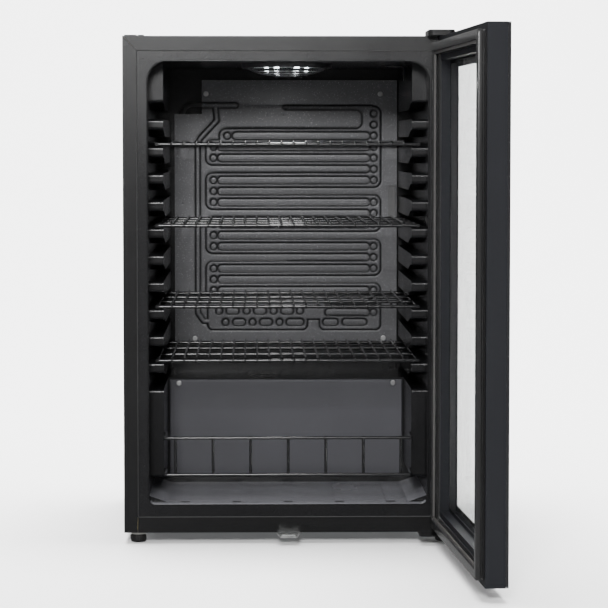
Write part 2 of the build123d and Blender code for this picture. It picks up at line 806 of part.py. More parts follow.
with BuildPart(cabinet) as evaporation_tray:
    tray_low = grommet_high + foot_plate + shell_height
    block((-165.0, 15.0), (290.0, 405.0), (tray_low, tray_low + 14.0))
    fillet(evaporation_tray.edges().filter_by(Axis.Z), 10.0)
    offset(amount=-1.6, openings=evaporation_tray.faces().sort_by(Axis.Z)[-1])
finish(evaporation_tray, "evaporation_tray")

condenser_y = body_depth + condenser_gap + condenser_tube / 2
condenser_half = 175.0
condenser_low = 215.0
condenser_pitch = 38.0
condenser_runs = 11

with BuildPart(cabinet) as condenser:
    corners = []
    for run in range(condenser_runs):
        ends = (-condenser_half, condenser_half) if run % 2 == 0 else (condenser_half, -condenser_half)
        corners += [(x, condenser_y, condenser_low + condenser_pitch * run) for x in ends]
    with BuildLine(cabinet) as route:
        FilletPolyline(*corners, radius=condenser_pitch * 0.48)
    with BuildSketch(Plane(route.line @ 0, z_dir=route.line % 0)):
        Circle(condenser_tube / 2)
    sweep()
    wire_y = condenser_y - (condenser_tube + 2.0) / 2 + weld
    uprights = [(14.0 * i, wire_y) for i in range(-11, 12)]
    run_height = condenser_pitch * (condenser_runs - 1) + 20
    disc(level(cabinet, condenser_low - 10), uprights, 1.0, run_height)
finish(condenser, "condenser")

with BuildPart(cabinet) as condenser_brackets:
    for x in (-161.0, 161.0):
        for z in (condenser_low + condenser_pitch * 1.5, condenser_low + condenser_pitch * 8.5):
            block((x - 9, x + 9), (body_depth, wire_y - 1.0), (z - 5, z + 5))
finish(condenser_brackets, "condenser_brackets")

pipe = 3.0


def pipe_run(points, radius, bend):
    """A bent pipe through corner points given in the cabinet frame."""
    with BuildPart(cabinet) as run:
        with BuildLine(cabinet) as route:
            FilletPolyline(*points, radius=bend)
        with BuildSketch(Plane(route.line @ 0, z_dir=route.line % 0)):
            Circle(radius)
        sweep()
    return run


outlet_z = shell_low + 30.0
discharge_tube = pipe_run(
    [
        (compressor_x - shell_radius + 1, compressor_y, outlet_z),
        (-190.0, compressor_y, outlet_z),
        (-190.0, condenser_y, outlet_z),
        (-190.0, condenser_y, condenser_low),
        (-condenser_half, condenser_y, condenser_low),
    ],
    condenser_tube / 2,
    8.0,
)
finish(discharge_tube, "discharge_tube")

suction_tube = pipe_run(
    [
        (compressor_x + 20.0, compressor_y + shell_radius - 4, outlet_z + 12),
        (compressor_x + 20.0, body_depth + 8.0, outlet_z + 12),
        (compressor_x + 20.0, body_depth + 8.0, 205.0),
        (compressor_x + 20.0, body_depth, 205.0),
    ],
    pipe,
    5.0,
)
finish(suction_tube, "suction_tube")

drier_x = 200.0
drier_y = 408.0
drier_low = 62.0
drier_high = 146.0

with BuildPart(cabinet) as filter_drier:
    disc(level(cabinet, drier_low), [(drier_x, drier_y)], 9.5, drier_high - drier_low)
    chamfer(filter_drier.edges().filter_by(GeomType.CIRCLE), 5.0)
finish(filter_drier, "filter_drier")

condenser_top = condenser_low + condenser_pitch * (condenser_runs - 1)
liquid_tube = pipe_run(
    [
        (condenser_half, condenser_y, condenser_top),
        (drier_x, condenser_y, condenser_top),
        (drier_x, condenser_y, drier_high + 18.0),
        (drier_x, drier_y, drier_high + 18.0),
        (drier_x, drier_y, drier_high),
    ],
    condenser_tube / 2,
    8.0,
)
finish(liquid_tube, "liquid_tube")

thermostat_x = 150.0
knob_z = 142.0
knob_y = body_depth - sheet

with BuildPart(cabinet) as thermostat_body:
    block((thermostat_x - 27, thermostat_x + 27), (body_depth - 40, knob_y - 3), (118.0, machine_top))
    disc(facing(cabinet, knob_y - 3), [(thermostat_x, knob_z)], 3.1, 20.0, mode=Mode.SUBTRACT)
finish(thermostat_body, "thermostat_body")

with BuildPart(cabinet) as thermostat_knob:
    behind = Plane(
        cabinet.from_local_coords(Vector(0, knob_y - 2.5, 0)),
        x_dir=-cabinet.x_dir,
        z_dir=cabinet.y_dir,
    )
    knob_point = [(-thermostat_x, knob_z)]
    disc(behind, knob_point, 16.0, 13.0)
    fillet(thermostat_knob.faces().sort_by(Axis.Y)[-1].edges(), 1.5)
    with BuildSketch(behind.offset(1.0)):
        with Locations(*knob_point):
            with PolarLocations(16.0, 20):
                Circle(0.8)
    extrude(amount=9.0, mode=Mode.SUBTRACT)
    disc(behind, knob_point, 3.0, -18.0)
finish(thermostat_knob, "thermostat_knob")

# ================================================================ door
door_mid = (door_left + hinge_inset) / 2
door_centre = (door_mid, (door_low + door_high) / 2)
door_tall = door_high - door_low
axis_point = [(0.0, 0.0)]
lock_z = door_low + 10.0
lock_u = -hinge_x
lock_radius = 7.0
lock_flange = 9.5
cam_reach = 17.0
cam_v = (glass_back - 6.3, glass_back - 3.3)
cam_pocket = (cam_v[0] - 1.5, cam_v[1] + 1.5)
bush_radius = pin_radius + pin_clearance + bush_wall

with BuildPart(door) as door_stiles:
    for edge, inward in ((door_left, 1), (hinge_inset, -1)):
        lip = sorted((edge, edge + inward * door_border))
        wall = sorted((edge, edge + inward * door_rebate))
        block(lip, (glass_back, door_inner), (door_low, door_high))
        block(wall, (pane_back, glass_back), (door_low, door_high))
    disc(level(door, door_low), axis_point, bush_radius, pin_length, mode=Mode.SUBTRACT)
    disc(level(door, door_high), axis_point, bush_radius, -pin_length, mode=Mode.SUBTRACT)
finish(door_stiles, "door_stiles")

with BuildPart(door) as door_rails:
    for edge, inward in ((door_low, 1), (door_high, -1)):
        lip = sorted((edge, edge + inward * door_border))
        wall = sorted((edge, edge + inward * door_rebate))
        block((door_left + door_border, hinge_inset - door_border), (glass_back, door_inner), lip)
        block((door_left + door_rebate, hinge_inset - door_rebate), (pane_back, glass_back), wall)
    # The bottom rail has a pocket that the lock's cam swings in, and a bore for its barrel.
    block(
        (lock_u - cam_reach - 2, lock_u + 8),
        cam_pocket,
        (door_low, lock_z + 7.0),
        mode=Mode.SUBTRACT,
    )
    disc(facing(door, door_outer), [(lock_u, lock_z)], lock_radius, -12.0, mode=Mode.SUBTRACT)
finish(door_rails, "door_rails")

with BuildPart(door) as outer_glass:
    block((door_left, hinge_inset), (door_outer, pane_back), (door_low, door_high))
    fillet(outer_glass.edges().filter_by(Axis((0, 0, 0), door.y_dir)), 1.0)
    disc(facing(door, door_outer), [(lock_u, lock_z)], lock_radius + 0.2, -outer_pane, mode=Mode.SUBTRACT)
finish(outer_glass, "outer_glass")

with BuildPart(door) as inner_glass:
    inset = door_rebate + 0.5
    block(
        (door_left + inset, hinge_inset - inset),
        (glass_back - inner_pane, glass_back),
        (door_low + inset, door_high - inset),
    )
finish(inner_glass, "inner_glass")

with BuildPart(door) as glass_spacer:
    inset = door_rebate + 1.5
    outer = (door_width - 2 * inset, door_tall - 2 * inset)
    ring_frame(facing(door, pane_back), door_centre, outer, 8.0, -(glass_back - inner_pane - pane_back))
finish(glass_spacer, "glass_spacer")

magnet_depth = 2.4
magnet_width = 9.0

with BuildPart(door) as door_gasket:
    outer = (door_width - 2 * gasket_inset, door_tall - 2 * gasket_inset)
    ring_frame(facing(door, gasket_face), door_centre, outer, gasket_width, gasket_face - door_inner)
    # The magnet lies in a groove that opens towards the middle of the door.
    groove = [side - 2 * (gasket_width - magnet_width) for side in outer]
    magnet_front = gasket_face - 2.0
    ring_frame(facing(door, magnet_front), door_centre, groove, magnet_width, magnet_depth, Mode.SUBTRACT)
finish(door_gasket, "door_gasket")

with BuildPart(door) as gasket_magnets:
    u_edge = [door_left + gasket_inset, hinge_inset - gasket_inset]
    z_edge = [door_low + gasket_inset, door_high - gasket_inset]
    margin = gasket_width - magnet_width
    v_magnet = (magnet_front - magnet_depth, magnet_front)
    for edge, inward in zip(z_edge, (1, -1)):
        band = sorted((edge + inward * margin, edge + inward * (gasket_width - 0.4)))
        block((u_edge[0] + gasket_width, u_edge[1] - gasket_width), v_magnet, band)
    for edge, inward in zip(u_edge, (1, -1)):
        band = sorted((edge + inward * margin, edge + inward * (gasket_width - 0.4)))
        block(band, v_magnet, (z_edge[0] + gasket_width, z_edge[1] - gasket_width))
finish(gasket_magnets, "gasket_magnets")

with BuildPart(door) as door_bushings:
    lip_height = door_clearance - 0.3
    for z, up in ((door_low, 1), (door_high, -1)):
        disc(level(door, z), axis_point, bush_radius, up * pin_length)
        disc(level(door, z), axis_point, bush_radius + 2, -up * lip_height)
        reach = pin_length + lip_height
        bore = pin_radius + pin_clearance
        disc(level(door, z - up * lip_height), axis_point, bore, up * reach, mode=Mode.SUBTRACT)
finish(door_bushings, "door_bushings")

with BuildPart(door) as lock_barrel:
    disc(facing(door, door_outer), [(lock_u, lock_z)], lock_flange, 2.0)
    fillet(lock_barrel.faces().filter_by(lambda f: f.area > 200).edges(), 0.5)
    disc(facing(door, door_outer), [(lock_u, lock_z)], lock_radius, door_outer - cam_pocket[0])
    disc(facing(door, door_outer - 3), [(lock_u, lock_z)], 4.5, -20.0, mode=Mode.SUBTRACT)
finish(lock_barrel, "lock_barrel")

with BuildPart(door) as lock_cam:
    plug = 4.45
    disc(facing(door, cam_v[1]), [(lock_u, lock_z)], plug, cam_v[1] - door_outer + 2.2)
    with BuildSketch(facing(door, door_outer - 2.2)):
        with Locations((lock_u, lock_z)):
            Rectangle(1.2, 5.5)
    extrude(amount=-8.0, mode=Mode.SUBTRACT)
    with BuildSketch(facing(door, cam_v[1])):
        with Locations((lock_u - (cam_reach - 5.0) / 2, lock_z)):
            SlotOverall(cam_reach + 5.0, 10.0)
        with Locations((lock_u, lock_z)):
            Circle(5.6)
    extrude(amount=cam_v[1] - cam_v[0])
finish(lock_cam, "lock_cam")
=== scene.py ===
# %% [markdown]
# # A compact glass-door drinks cooler
#
# The cooler is a folded steel cabinet round a moulded plastic liner, with a double-glazed door on
# two pins. The mechanical model gives every part its size and place; this lesson gives the parts
# their finishes. It also makes again, as fine surfaces, the few whose shape the eye reads closely:
# the door's gasket, the cooling plate, the lamp's lens and the front feet. The printed borders of
# the glass, the bead round the mouth and the sealant lines are new. Lengths in the shape functions
# are millimetres, and they become metres at the end.

# %% Load the mechanical model
import json
import math

import bmesh
import bpy
import numpy as np
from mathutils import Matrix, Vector


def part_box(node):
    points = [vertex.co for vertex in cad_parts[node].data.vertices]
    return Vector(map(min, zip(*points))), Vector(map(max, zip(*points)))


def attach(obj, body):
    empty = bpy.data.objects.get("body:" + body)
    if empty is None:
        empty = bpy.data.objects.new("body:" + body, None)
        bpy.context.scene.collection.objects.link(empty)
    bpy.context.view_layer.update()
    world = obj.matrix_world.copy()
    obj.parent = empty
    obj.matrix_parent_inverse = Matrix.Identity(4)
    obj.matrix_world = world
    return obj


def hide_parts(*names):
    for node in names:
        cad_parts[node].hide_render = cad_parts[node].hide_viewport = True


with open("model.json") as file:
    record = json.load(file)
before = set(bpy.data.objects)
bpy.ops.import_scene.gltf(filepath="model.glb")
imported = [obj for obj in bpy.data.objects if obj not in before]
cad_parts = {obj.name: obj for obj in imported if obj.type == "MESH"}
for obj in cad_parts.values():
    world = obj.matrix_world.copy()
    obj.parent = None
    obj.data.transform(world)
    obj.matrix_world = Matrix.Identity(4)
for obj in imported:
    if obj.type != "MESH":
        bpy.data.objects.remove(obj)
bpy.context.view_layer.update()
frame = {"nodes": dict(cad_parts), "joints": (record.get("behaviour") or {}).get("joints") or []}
NODES = frame["nodes"]
JOINTS = {joint["name"]: joint for joint in frame["joints"]}

# %% [markdown]
# ## Two sets of axes
#
# Shapes are easiest to describe where they are used. Cabinet shapes use x to the right from the
# middle, y from the front face to the back, and z up. Door shapes use u along the door towards
# its hinge, v from its outer side to its inner side, and z up, measured from the hinge pin; the
# door stands open, so that pair of axes is turned. Both functions below take whole arrays.

# %% Axes of the cabinet and of the door
MM = 0.001
wrap_low, wrap_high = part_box("outer_wrap")
CENTRE_X = (wrap_low[0] + wrap_high[0]) / 2
FRONT_Y = wrap_low[1]
HALF_WIDTH = (wrap_high[0] - wrap_low[0]) / 2 / MM
PIVOT = JOINTS["door_hinge"]["pos_m"]
OPEN_ANGLE = math.radians(-JOINTS["door_hinge"]["range_deg"][0])


def cabinet_place(x, y, z):
    """Cabinet millimetres to metres in the model's frame: a shift to the cabinet's front middle."""
    x, y, z = np.broadcast_arrays(x, y, z)
    return np.stack([CENTRE_X + x * MM, FRONT_Y + y * MM, z * MM], axis=-1)


def door_place(u, v, z):
    """Door millimetres to metres: u and v are turned by the open angle about the hinge pin."""
    u, v, z = np.broadcast_arrays(u, v, z)
    cosine, sine = math.cos(OPEN_ANGLE), math.sin(OPEN_ANGLE)
    x = PIVOT[0] + (u * cosine - v * sine) * MM
    y = PIVOT[1] + (u * sine + v * cosine) * MM
    return np.stack([x, y, z * MM], axis=-1)


print("hinge pin at", [round(value, 4) for value in PIVOT[:2]])

# %% [markdown]
# ## From a grid of points to a mesh
#
# Every new piece is a grid of points: rows run one way over its surface and columns the other.
# Four neighbours make a face, and a grid can close on itself like a tube, in either direction.
# Working the faces out with array arithmetic keeps it fast, and merging doubled points closes the
# poles. Recalculated normals then make sure that the outside is outside.


# %% Grid to mesh
def grid_faces(rows, columns, close_rows=False, close_columns=False):
    """The corner numbers of each face: point (i, j) is number i * columns + j, and wraps if closed."""
    i = np.arange(rows if close_rows else rows - 1)[:, None]
    j = np.arange(columns if close_columns else columns - 1)[None, :]
    i_next, j_next = (i + 1) % rows, (j + 1) % columns
    corners = [i * columns + j, i_next * columns + j, i_next * columns + j_next, i * columns + j_next]
    return np.stack(np.broadcast_arrays(*corners), axis=-1).reshape(-1, 4)


def make_piece(name, points, faces, body, smooth_angle=35.0):
    """A mesh object from an array of points and one of faces, with its normals outwards."""
    mesh = bpy.data.meshes.new(name)
    mesh.from_pydata(points.reshape(-1, 3).tolist(), [], faces.tolist())
    shell = bmesh.new()
    shell.from_mesh(mesh)
    bmesh.ops.remove_doubles(shell, verts=shell.verts, dist=1e-6)
    bmesh.ops.dissolve_degenerate(shell, edges=shell.edges, dist=1e-7)
    bmesh.ops.recalc_face_normals(shell, faces=shell.faces)
    shell.to_mesh(mesh)
    shell.free()
    mesh.shade_smooth()
    mesh.set_sharp_from_angle(angle=math.radians(smooth_angle))
    piece = bpy.data.objects.new(name, mesh)
    bpy.context.scene.collection.objects.link(piece)
    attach(piece, body)
    print(name, "faces", len(mesh.polygons))
    return piece


# %% [markdown]
# ## A profile carried round a rectangle
#
# The gasket, the printed border of the glass and the bead round the cabin's mouth are all one
# cross-section carried round a rectangle with rounded corners. A point of the profile that lies
# further in runs round a smaller rectangle, so the corners fit together like a welded mitre.


# %% Loops and frames
def rounded_loop(half_width, half_height, radius, steps=6):
    """A rounded rectangle: each corner's centre plus the radius times (cos, sin) over 90 degrees."""
    quarter = np.linspace(0, math.pi / 2, steps)
    angles = (np.arange(4)[:, None] * math.pi / 2 + quarter).ravel()
    sign_x = np.repeat([1, -1, -1, 1], steps)
    sign_z = np.repeat([1, 1, -1, -1], steps)
    across = sign_x * (half_width - radius) + radius * np.cos(angles)
    up = sign_z * (half_height - radius) + radius * np.sin(angles)
    return across, up


def frame_points(profile, half_width, half_height, radius, steps=6):
    """For each profile point (inset, depth): the loop that lies that far in, at that depth."""
    loops = []
    for inset, depth in profile:
        corner = max(radius - inset, 0.6)
        across, up = rounded_loop(half_width - inset, half_height - inset, corner, steps)
        loops.append(np.stack([across, np.full_like(across, depth), up], axis=-1))
    return np.array(loops)


def arc(centre, radius, start, end, steps=5):
    """Points of a profile on a circle: centre plus radius times (cos, sin), from start to end degrees."""
    angles = np.radians(np.linspace(start, end, steps))
    return [(centre[0] + radius * math.cos(a), centre[1] + radius * math.sin(a)) for a in angles]


# %% [markdown]
# ## The door gasket
#
# A refrigerator's gasket is extruded soft vinyl: a flat face that hides the magnet, a bellows
# that lets it reach the cabinet, and thin ridges that press against the door's inner panel. It
# could be a bent tube, but the eye reads the flat face, the groove and the ridges as separate
# lines, so the whole section is drawn as a profile of (distance in from the edge, height above the
# door's inner face).

# %% Door measures and the gasket
door_low, door_high = 16.5, 684.5
door_left, door_right = -433.0, 12.0
DOOR_MIDDLE = ((door_left + door_right) / 2, (door_low + door_high) / 2)
DOOR_HALF = ((door_right - door_left) / 2, (door_high - door_low) / 2)
INNER_FACE, GASKET_FACE = 8.4, 19.0
OUTER_FACE, PANE_BACK = -19.6, -15.6


def on_door(points, middle=DOOR_MIDDLE):
    """Loop points, measured from a middle point, to their place on the open door."""
    return door_place(middle[0] + points[..., 0], points[..., 1], middle[1] + points[..., 2])


# The gasket stands eight millimetres in from three edges of the door and ten from the hinge edge.
GASKET_EDGE, HINGE_EDGE = 8.0, 10.0
gasket_left, gasket_right = door_left + GASKET_EDGE, door_right - HINGE_EDGE
gasket_middle = ((gasket_left + gasket_right) / 2, DOOR_MIDDLE[1])
gasket_half = ((gasket_right - gasket_left) / 2, DOOR_HALF[1] - GASKET_EDGE)
GASKET_FLAT = 12.6
gasket_profile = (
    [(0.6, INNER_FACE), (0.3, INNER_FACE + 1.4)]
    + [(2.6, INNER_FACE + 2.4), (2.6, INNER_FACE + 3.6)]
    + [(0.2, INNER_FACE + 4.8)]
    + arc((1.8, GASKET_FACE - 1.8), 1.8, 180, 90)
    + arc((GASKET_FLAT - 1.4, GASKET_FACE - 1.4), 1.4, 90, 0)
    + [(GASKET_FLAT - 0.3, INNER_FACE + 5.2), (GASKET_FLAT - 3.0, INNER_FACE + 4.0)]
    + [(GASKET_FLAT - 3.0, INNER_FACE + 2.6)]
    + arc((GASKET_FLAT + 0.2, INNER_FACE + 1.6), 1.0, 150, 0)
    + [(GASKET_FLAT + 1.6, INNER_FACE + 0.6)]
    + arc((GASKET_FLAT + 3.2, INNER_FACE + 1.2), 1.0, 170, 0)
    + [(GASKET_FLAT + 4.4, INNER_FACE)]
)
gasket_loops = frame_points(gasket_profile, *gasket_half, radius=4.0)
gasket = make_piece(
    "gasket",
    on_door(gasket_loops, gasket_middle),
    grid_faces(*gasket_loops.shape[:2], close_rows=True, close_columns=True),
    "door",
    smooth_angle=50.0,
)
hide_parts("door_gasket")

# %% [markdown]
# ## The printed border of the glass
#
# The front pane is bigger than the clear window. A black ceramic border is fired onto its back to
# hide the door's frame and the spacer between the panes. Paint on glass has no thickness to speak
# of, but a mesh without thickness can't be made or exported well, so it is a band a fraction of a
# millimetre thick, sunk just inside the back of the pane, and turned up over the pane's ground
# edge, which is blacked as well. The inner pane has a narrower border of its own.

# %% Ceramic border
BORDER_WIDTH = 41.0
border_profile = [
    (-0.25, PANE_BACK - 0.06),
    (-0.25, OUTER_FACE + 0.4),
    (-0.05, OUTER_FACE + 0.4),
    (-0.05, PANE_BACK - 0.2),
    (BORDER_WIDTH, PANE_BACK - 0.2),
    (BORDER_WIDTH, PANE_BACK - 0.06),
]
border_loops = frame_points(border_profile, *DOOR_HALF, radius=3.0)
glass_border = make_piece(
    "glass_border",
    on_door(border_loops),
    grid_faces(*border_loops.shape[:2], close_rows=True, close_columns=True),
    "door",
)
INNER_BACK, INNER_EDGE, INNER_BORDER, INNER_CORNER = -3.6, 30.0, 37.0, 33.0
inner_profile = [
    (INNER_EDGE, INNER_BACK - 0.05),
    (INNER_EDGE, INNER_BACK - 0.18),
    (INNER_BORDER, INNER_BACK - 0.18),
    (INNER_BORDER, INNER_BACK - 0.05),
]
inner_loops = frame_points(inner_profile, *DOOR_HALF, radius=INNER_CORNER)
inner_border = make_piece(
    "inner_border",
    on_door(inner_loops),
    grid_faces(*inner_loops.shape[:2], close_rows=True, close_columns=True),
    "door",
)
print("clear window", 2 * (DOOR_HALF[0] - BORDER_WIDTH), "by", 2 * (DOOR_HALF[1] - BORDER_WIDTH), "mm")

# %% [markdown]
# ## The bead round the cabin's mouth
#
# Where a vacuum-formed liner turns into the cabin it keeps a soft, slightly raised lip, and that
# lip catches the light as one fine bright line. It is a nearly round profile, about two millimetres
# wide, carried round the mouth, whose corners are wide at the top and tight at the bottom.

# %% Mouth bead
MOUTH_HALF, MOUTH_LOW, MOUTH_HIGH = 188.8, 54.0, 652.1
TOP_CORNER, BOTTOM_CORNER = 26.0, 8.0
BEAD, BEAD_SUNK, BEAD_DEPTH, BEAD_FLATTEN = 1.1, 0.4, 1.2, 0.9


def mouth_loop(outset, steps=12):
    """The mouth's outline moved outwards: the corner radii grow with it, wide above, tight below."""
    half = MOUTH_HALF + outset
    quarter = np.linspace(0, math.pi / 2, steps)
    angles = (np.arange(4)[:, None] * math.pi / 2 + quarter).ravel()
    sign_x = np.repeat([1, -1, -1, 1], steps)
    radius = np.repeat([TOP_CORNER, TOP_CORNER, BOTTOM_CORNER, BOTTOM_CORNER], steps) + outset
    level = np.repeat([MOUTH_HIGH + outset] * 2 + [MOUTH_LOW - outset] * 2, steps)
    inward = np.repeat([1, 1, -1, -1], steps)
    x = sign_x * (half - radius) + radius * np.cos(angles)
    return x, level - inward * radius + radius * np.sin(angles)


bead_angles = np.linspace(0, 2 * math.pi, 10, endpoint=False)
bead_rings = []
for angle in bead_angles:
    x, z = mouth_loop(BEAD * (1 + math.cos(angle)) - BEAD_SUNK)
    bead_rings.append(cabinet_place(x, BEAD_DEPTH + BEAD * math.sin(angle) * BEAD_FLATTEN, z))
bead_rings = np.array(bead_rings)
mouth_bead = make_piece(
    "mouth_bead",
    bead_rings,
    grid_faces(*bead_rings.shape[:2], close_rows=True, close_columns=True),
    "cabinet",
    smooth_angle=80.0,
)

# %% [markdown]
# ## Seams of the front
#
# The steel strips stand a millimetre proud of the liner's flange, and a dark line of sealant fills
# the step between them. It runs round the flange, and two short lines of it fill the mitred
# corners above. Round the flange it is a small rounded profile in the corner of the step; along a
# mitre it is a thin round rod, sunk in the slit between the strips.

# %% Sealant lines
STRIP_HALF, STRIP_LOW, STRIP_HIGH = 204.1, 35.5, 667.1
SEAL, SEAL_CENTRE, SEAL_DEPTH, SEAL_FLATTEN = 0.9, 0.6, 0.75, 0.55
ROD_RADIUS, ROD_DEPTH = 0.42, 0.5
seal_angles = np.linspace(0, 2 * math.pi, 8, endpoint=False)
seal_profile = [
    (SEAL * (SEAL_CENTRE - math.cos(a)), SEAL_DEPTH + SEAL_FLATTEN * SEAL * math.sin(a)) for a in seal_angles
]
seal_loops = frame_points(
    seal_profile, STRIP_HALF, (STRIP_HIGH - STRIP_LOW) / 2, radius=1.6, steps=4
)
seal_middle = (STRIP_LOW + STRIP_HIGH) / 2
seal_points = cabinet_place(seal_loops[..., 0], seal_loops[..., 1], seal_middle + seal_loops[..., 2])
seal_faces = grid_faces(*seal_loops.shape[:2], close_rows=True, close_columns=True)


def rod_between(start, end, radius, sides=8):
    """A thin rod in the plane of the front: circles of points at both ends, each closed to a point."""
    start, end = np.array(start), np.array(end)
    along = (end - start) / np.hypot(*(end - start))
    angles = np.linspace(0, 2 * math.pi, sides, endpoint=False)
    rings = []
    for centre, size in ((start, 0.0), (start, radius), (end, radius), (end, 0.0)):
        across = centre[:, None] + size * np.array([[-along[1]], [along[0]]]) * np.cos(angles)
        rings.append(cabinet_place(across[0], ROD_DEPTH + size * np.sin(angles), across[1]))
    return np.array(rings)


all_points, all_faces = [seal_points.reshape(-1, 3)], [seal_faces]
for side in (-1, 1):
    outer_end, inner_end = (side * (HALF_WIDTH - 1.0), 685.0), (side * (STRIP_HALF + 0.8), STRIP_HIGH + 0.9)
    rod = rod_between(outer_end, inner_end, ROD_RADIUS)
    all_faces.append(grid_faces(*rod.shape[:2], close_columns=True) + sum(map(len, all_points)))
    all_points.append(rod.reshape(-1, 3))
seam_line = make_piece("seam_line", np.vstack(all_points), np.vstack(all_faces), "cabinet", 60)

# %% [markdown]
# ## The embossed cooling plate
#
# A roll-bond evaporator is two aluminium sheets rolled together with a printed pattern between
# them that doesn't bond; air then blows that pattern up into passages. What one sees is a flat
# sheet with raised, round-shouldered passages and flat islands left between them. A signed
# distance, negative inside a shape, describes both: the passage field is a union of blocks, and
# the slots and dots are taken away from it. The height rises from each edge with a smooth
# shoulder, so the whole sheet is one height surface over a grid.

# %% Distances to simple shapes
def box_distance(x, z, low_x, high_x, low_z, high_z, radius):
    """Signed distance to a rounded rectangle: the distance to its shrunken core, less the radius."""
    qx = np.abs(x - (low_x + high_x) / 2) - (high_x - low_x) / 2 + radius
    qz = np.abs(z - (low_z + high_z) / 2) - (high_z - low_z) / 2 + radius
    outside = np.hypot(np.maximum(qx, 0), np.maximum(qz, 0))
    return outside + np.minimum(np.maximum(qx, qz), 0) - radius


def line_distance(x, z, start, end, radius):
    """Signed distance to a round-ended bar: how far a point is from the segment, less the radius."""
    along_x, along_z = end[0] - start[0], end[1] - start[1]
    share = ((x - start[0]) * along_x + (z - start[1]) * along_z) / (along_x**2 + along_z**2 + 1e-9)
    share = np.clip(share, 0, 1)
    return np.hypot(x - start[0] - share * along_x, z - start[1] - share * along_z) - radius


def dots_distance(x, z, centres, radius):
    """Signed distance to the nearest of several discs."""
    nearest = np.full_like(x, 1e3)
    for centre_x, centre_z in centres:
        nearest = np.minimum(nearest, np.hypot(x - centre_x, z - centre_z) - radius)
    return nearest


# %% [markdown]
# The refrigerant runs to and fro. Rows of slots lie at an even pitch; every fourth row is left
# open at one side, in turn left and right, and that makes the blocks into one long path. The
# bottom of the plate is a honeycomb, which slows the last of the liquid.

# %% The passage pattern
ROW_TOP, ROW_PITCH, ROW_COUNT = 586.3, 16.5, 19
ROWS = ROW_TOP - ROW_PITCH * np.arange(ROW_COUNT)
SLOT_LEFT, SLOT_RIGHT, SLOT_RADIUS = -94.5, 122.0, 4.9
FIELD_LEFT, FIELD_RIGHT = -118.4, 144.5
ROW_MARGIN = ROW_PITCH / 2 + 3.3
LEFT_OPEN, RIGHT_OPEN = (5, 9, 13), (7, 11, 15)
LEFT_BLOCKS = ((3, 4), (6, 8), (10, 12), (14, 16))
RIGHT_BLOCKS = ((0, 6), (8, 10), (12, 14), (16, 18))
DOT_RADIUS = 4.4


def passages(x, z):
    """Distance to the passages: the blocks and pipes, with the slots and dots taken out of them."""
    field = np.full_like(x, 1e3)
    for first, last in LEFT_BLOCKS:
        block = box_distance(x, z, FIELD_LEFT, 20, ROWS[last] - ROW_MARGIN, ROWS[first] + ROW_MARGIN, 11)
        field = np.minimum(field, block)
    for first, last in RIGHT_BLOCKS:
        block = box_distance(x, z, 0, FIELD_RIGHT, ROWS[last] - ROW_MARGIN, ROWS[first] + ROW_MARGIN, 11)
        field = np.minimum(field, block)
    step = box_distance(x, z, SLOT_LEFT - 4, 40, ROWS[3] - ROW_MARGIN, ROWS[2] + ROW_MARGIN, 11)
    honeycomb = box_distance(x, z, -116.0, 35.0, 262.0, 308.0, 9)
    pocket = box_distance(x, z, 51.6, FIELD_RIGHT, 262.0, 300.0, 9)
    field = np.minimum.reduce([field, step, honeycomb, pocket])
    top_bar = line_distance(x, z, (0, ROWS[0] + 9.5), (130, ROWS[0] + 9.5), 3.3)
    islands = box_distance(x, z, -60, 115, ROWS[1] - 4.9, ROWS[0] + 4.9, 9)
    left_dots, right_dots = [], []
    for number, height in enumerate(ROWS):
        left = -150.0 if number in LEFT_OPEN else SLOT_LEFT
        right = 180.0 if number in RIGHT_OPEN else SLOT_RIGHT
        if number == 2:
            left = SLOT_LEFT + 22
        if number >= 17:
            left = 66.0
        if number > 1:
            islands = np.minimum(islands, line_distance(x, z, (left, height), (right, height), SLOT_RADIUS))
        if number not in LEFT_OPEN and 2 < number < 17:
            left_dots.append((-106.0, height))
        if number not in RIGHT_OPEN:
            right_dots.append((133.3, height))
    row_dots = left_dots + right_dots + [(-85.5, ROWS[2])]
    islands = np.minimum(islands, dots_distance(x, z, row_dots, DOT_RADIUS))
    upper = [(-57.0, 291.6), (-16.6, 291.6), (23.1, 291.6), (-98.0, 291.6)]
    lower = [(-88.5, 274.7), (-48.0, 274.7), (-7.6, 274.7)]
    islands = np.minimum(islands, dots_distance(x, z, upper + lower, DOT_RADIUS))
    for centre, height, half in (
        (-78, 291.6, 9), (-36.8, 291.6, 9), (3.7, 291.6, 9), (-68.2, 274.7, 9), (-27.8, 274.7, 9),
        (15.7, 274.7, 12.7), (68.8, 274.7, 11), (104.8, 274.7, 18),
    ):
        bar = line_distance(x, z, (centre - half + 4.4, height), (centre + half - 4.4, height), 4.4)
        islands = np.minimum(islands, bar)
    return np.maximum(np.minimum(field, top_bar), -islands)


def pipes(x, z):
    """Distance to the feed pipes: the header, its branch down the left side and the join below."""
    route = [
        (-103.4, 597.0), (-101.0, 576.0), (-126.0, 549.0), (-129.5, 540.0), (-129.5, 288.0), (-121.0, 276.0)
    ]
    nearest = line_distance(x, z, (-122.0, 598.5), (-73.0, 598.5), 4.6)
    for start, end in zip(route, route[1:]):
        nearest = np.minimum(nearest, line_distance(x, z, start, end, 4.4))
    return np.minimum(nearest, line_distance(x, z, (-121.0, 276.0), (-110.0, 276.0), 4.4))
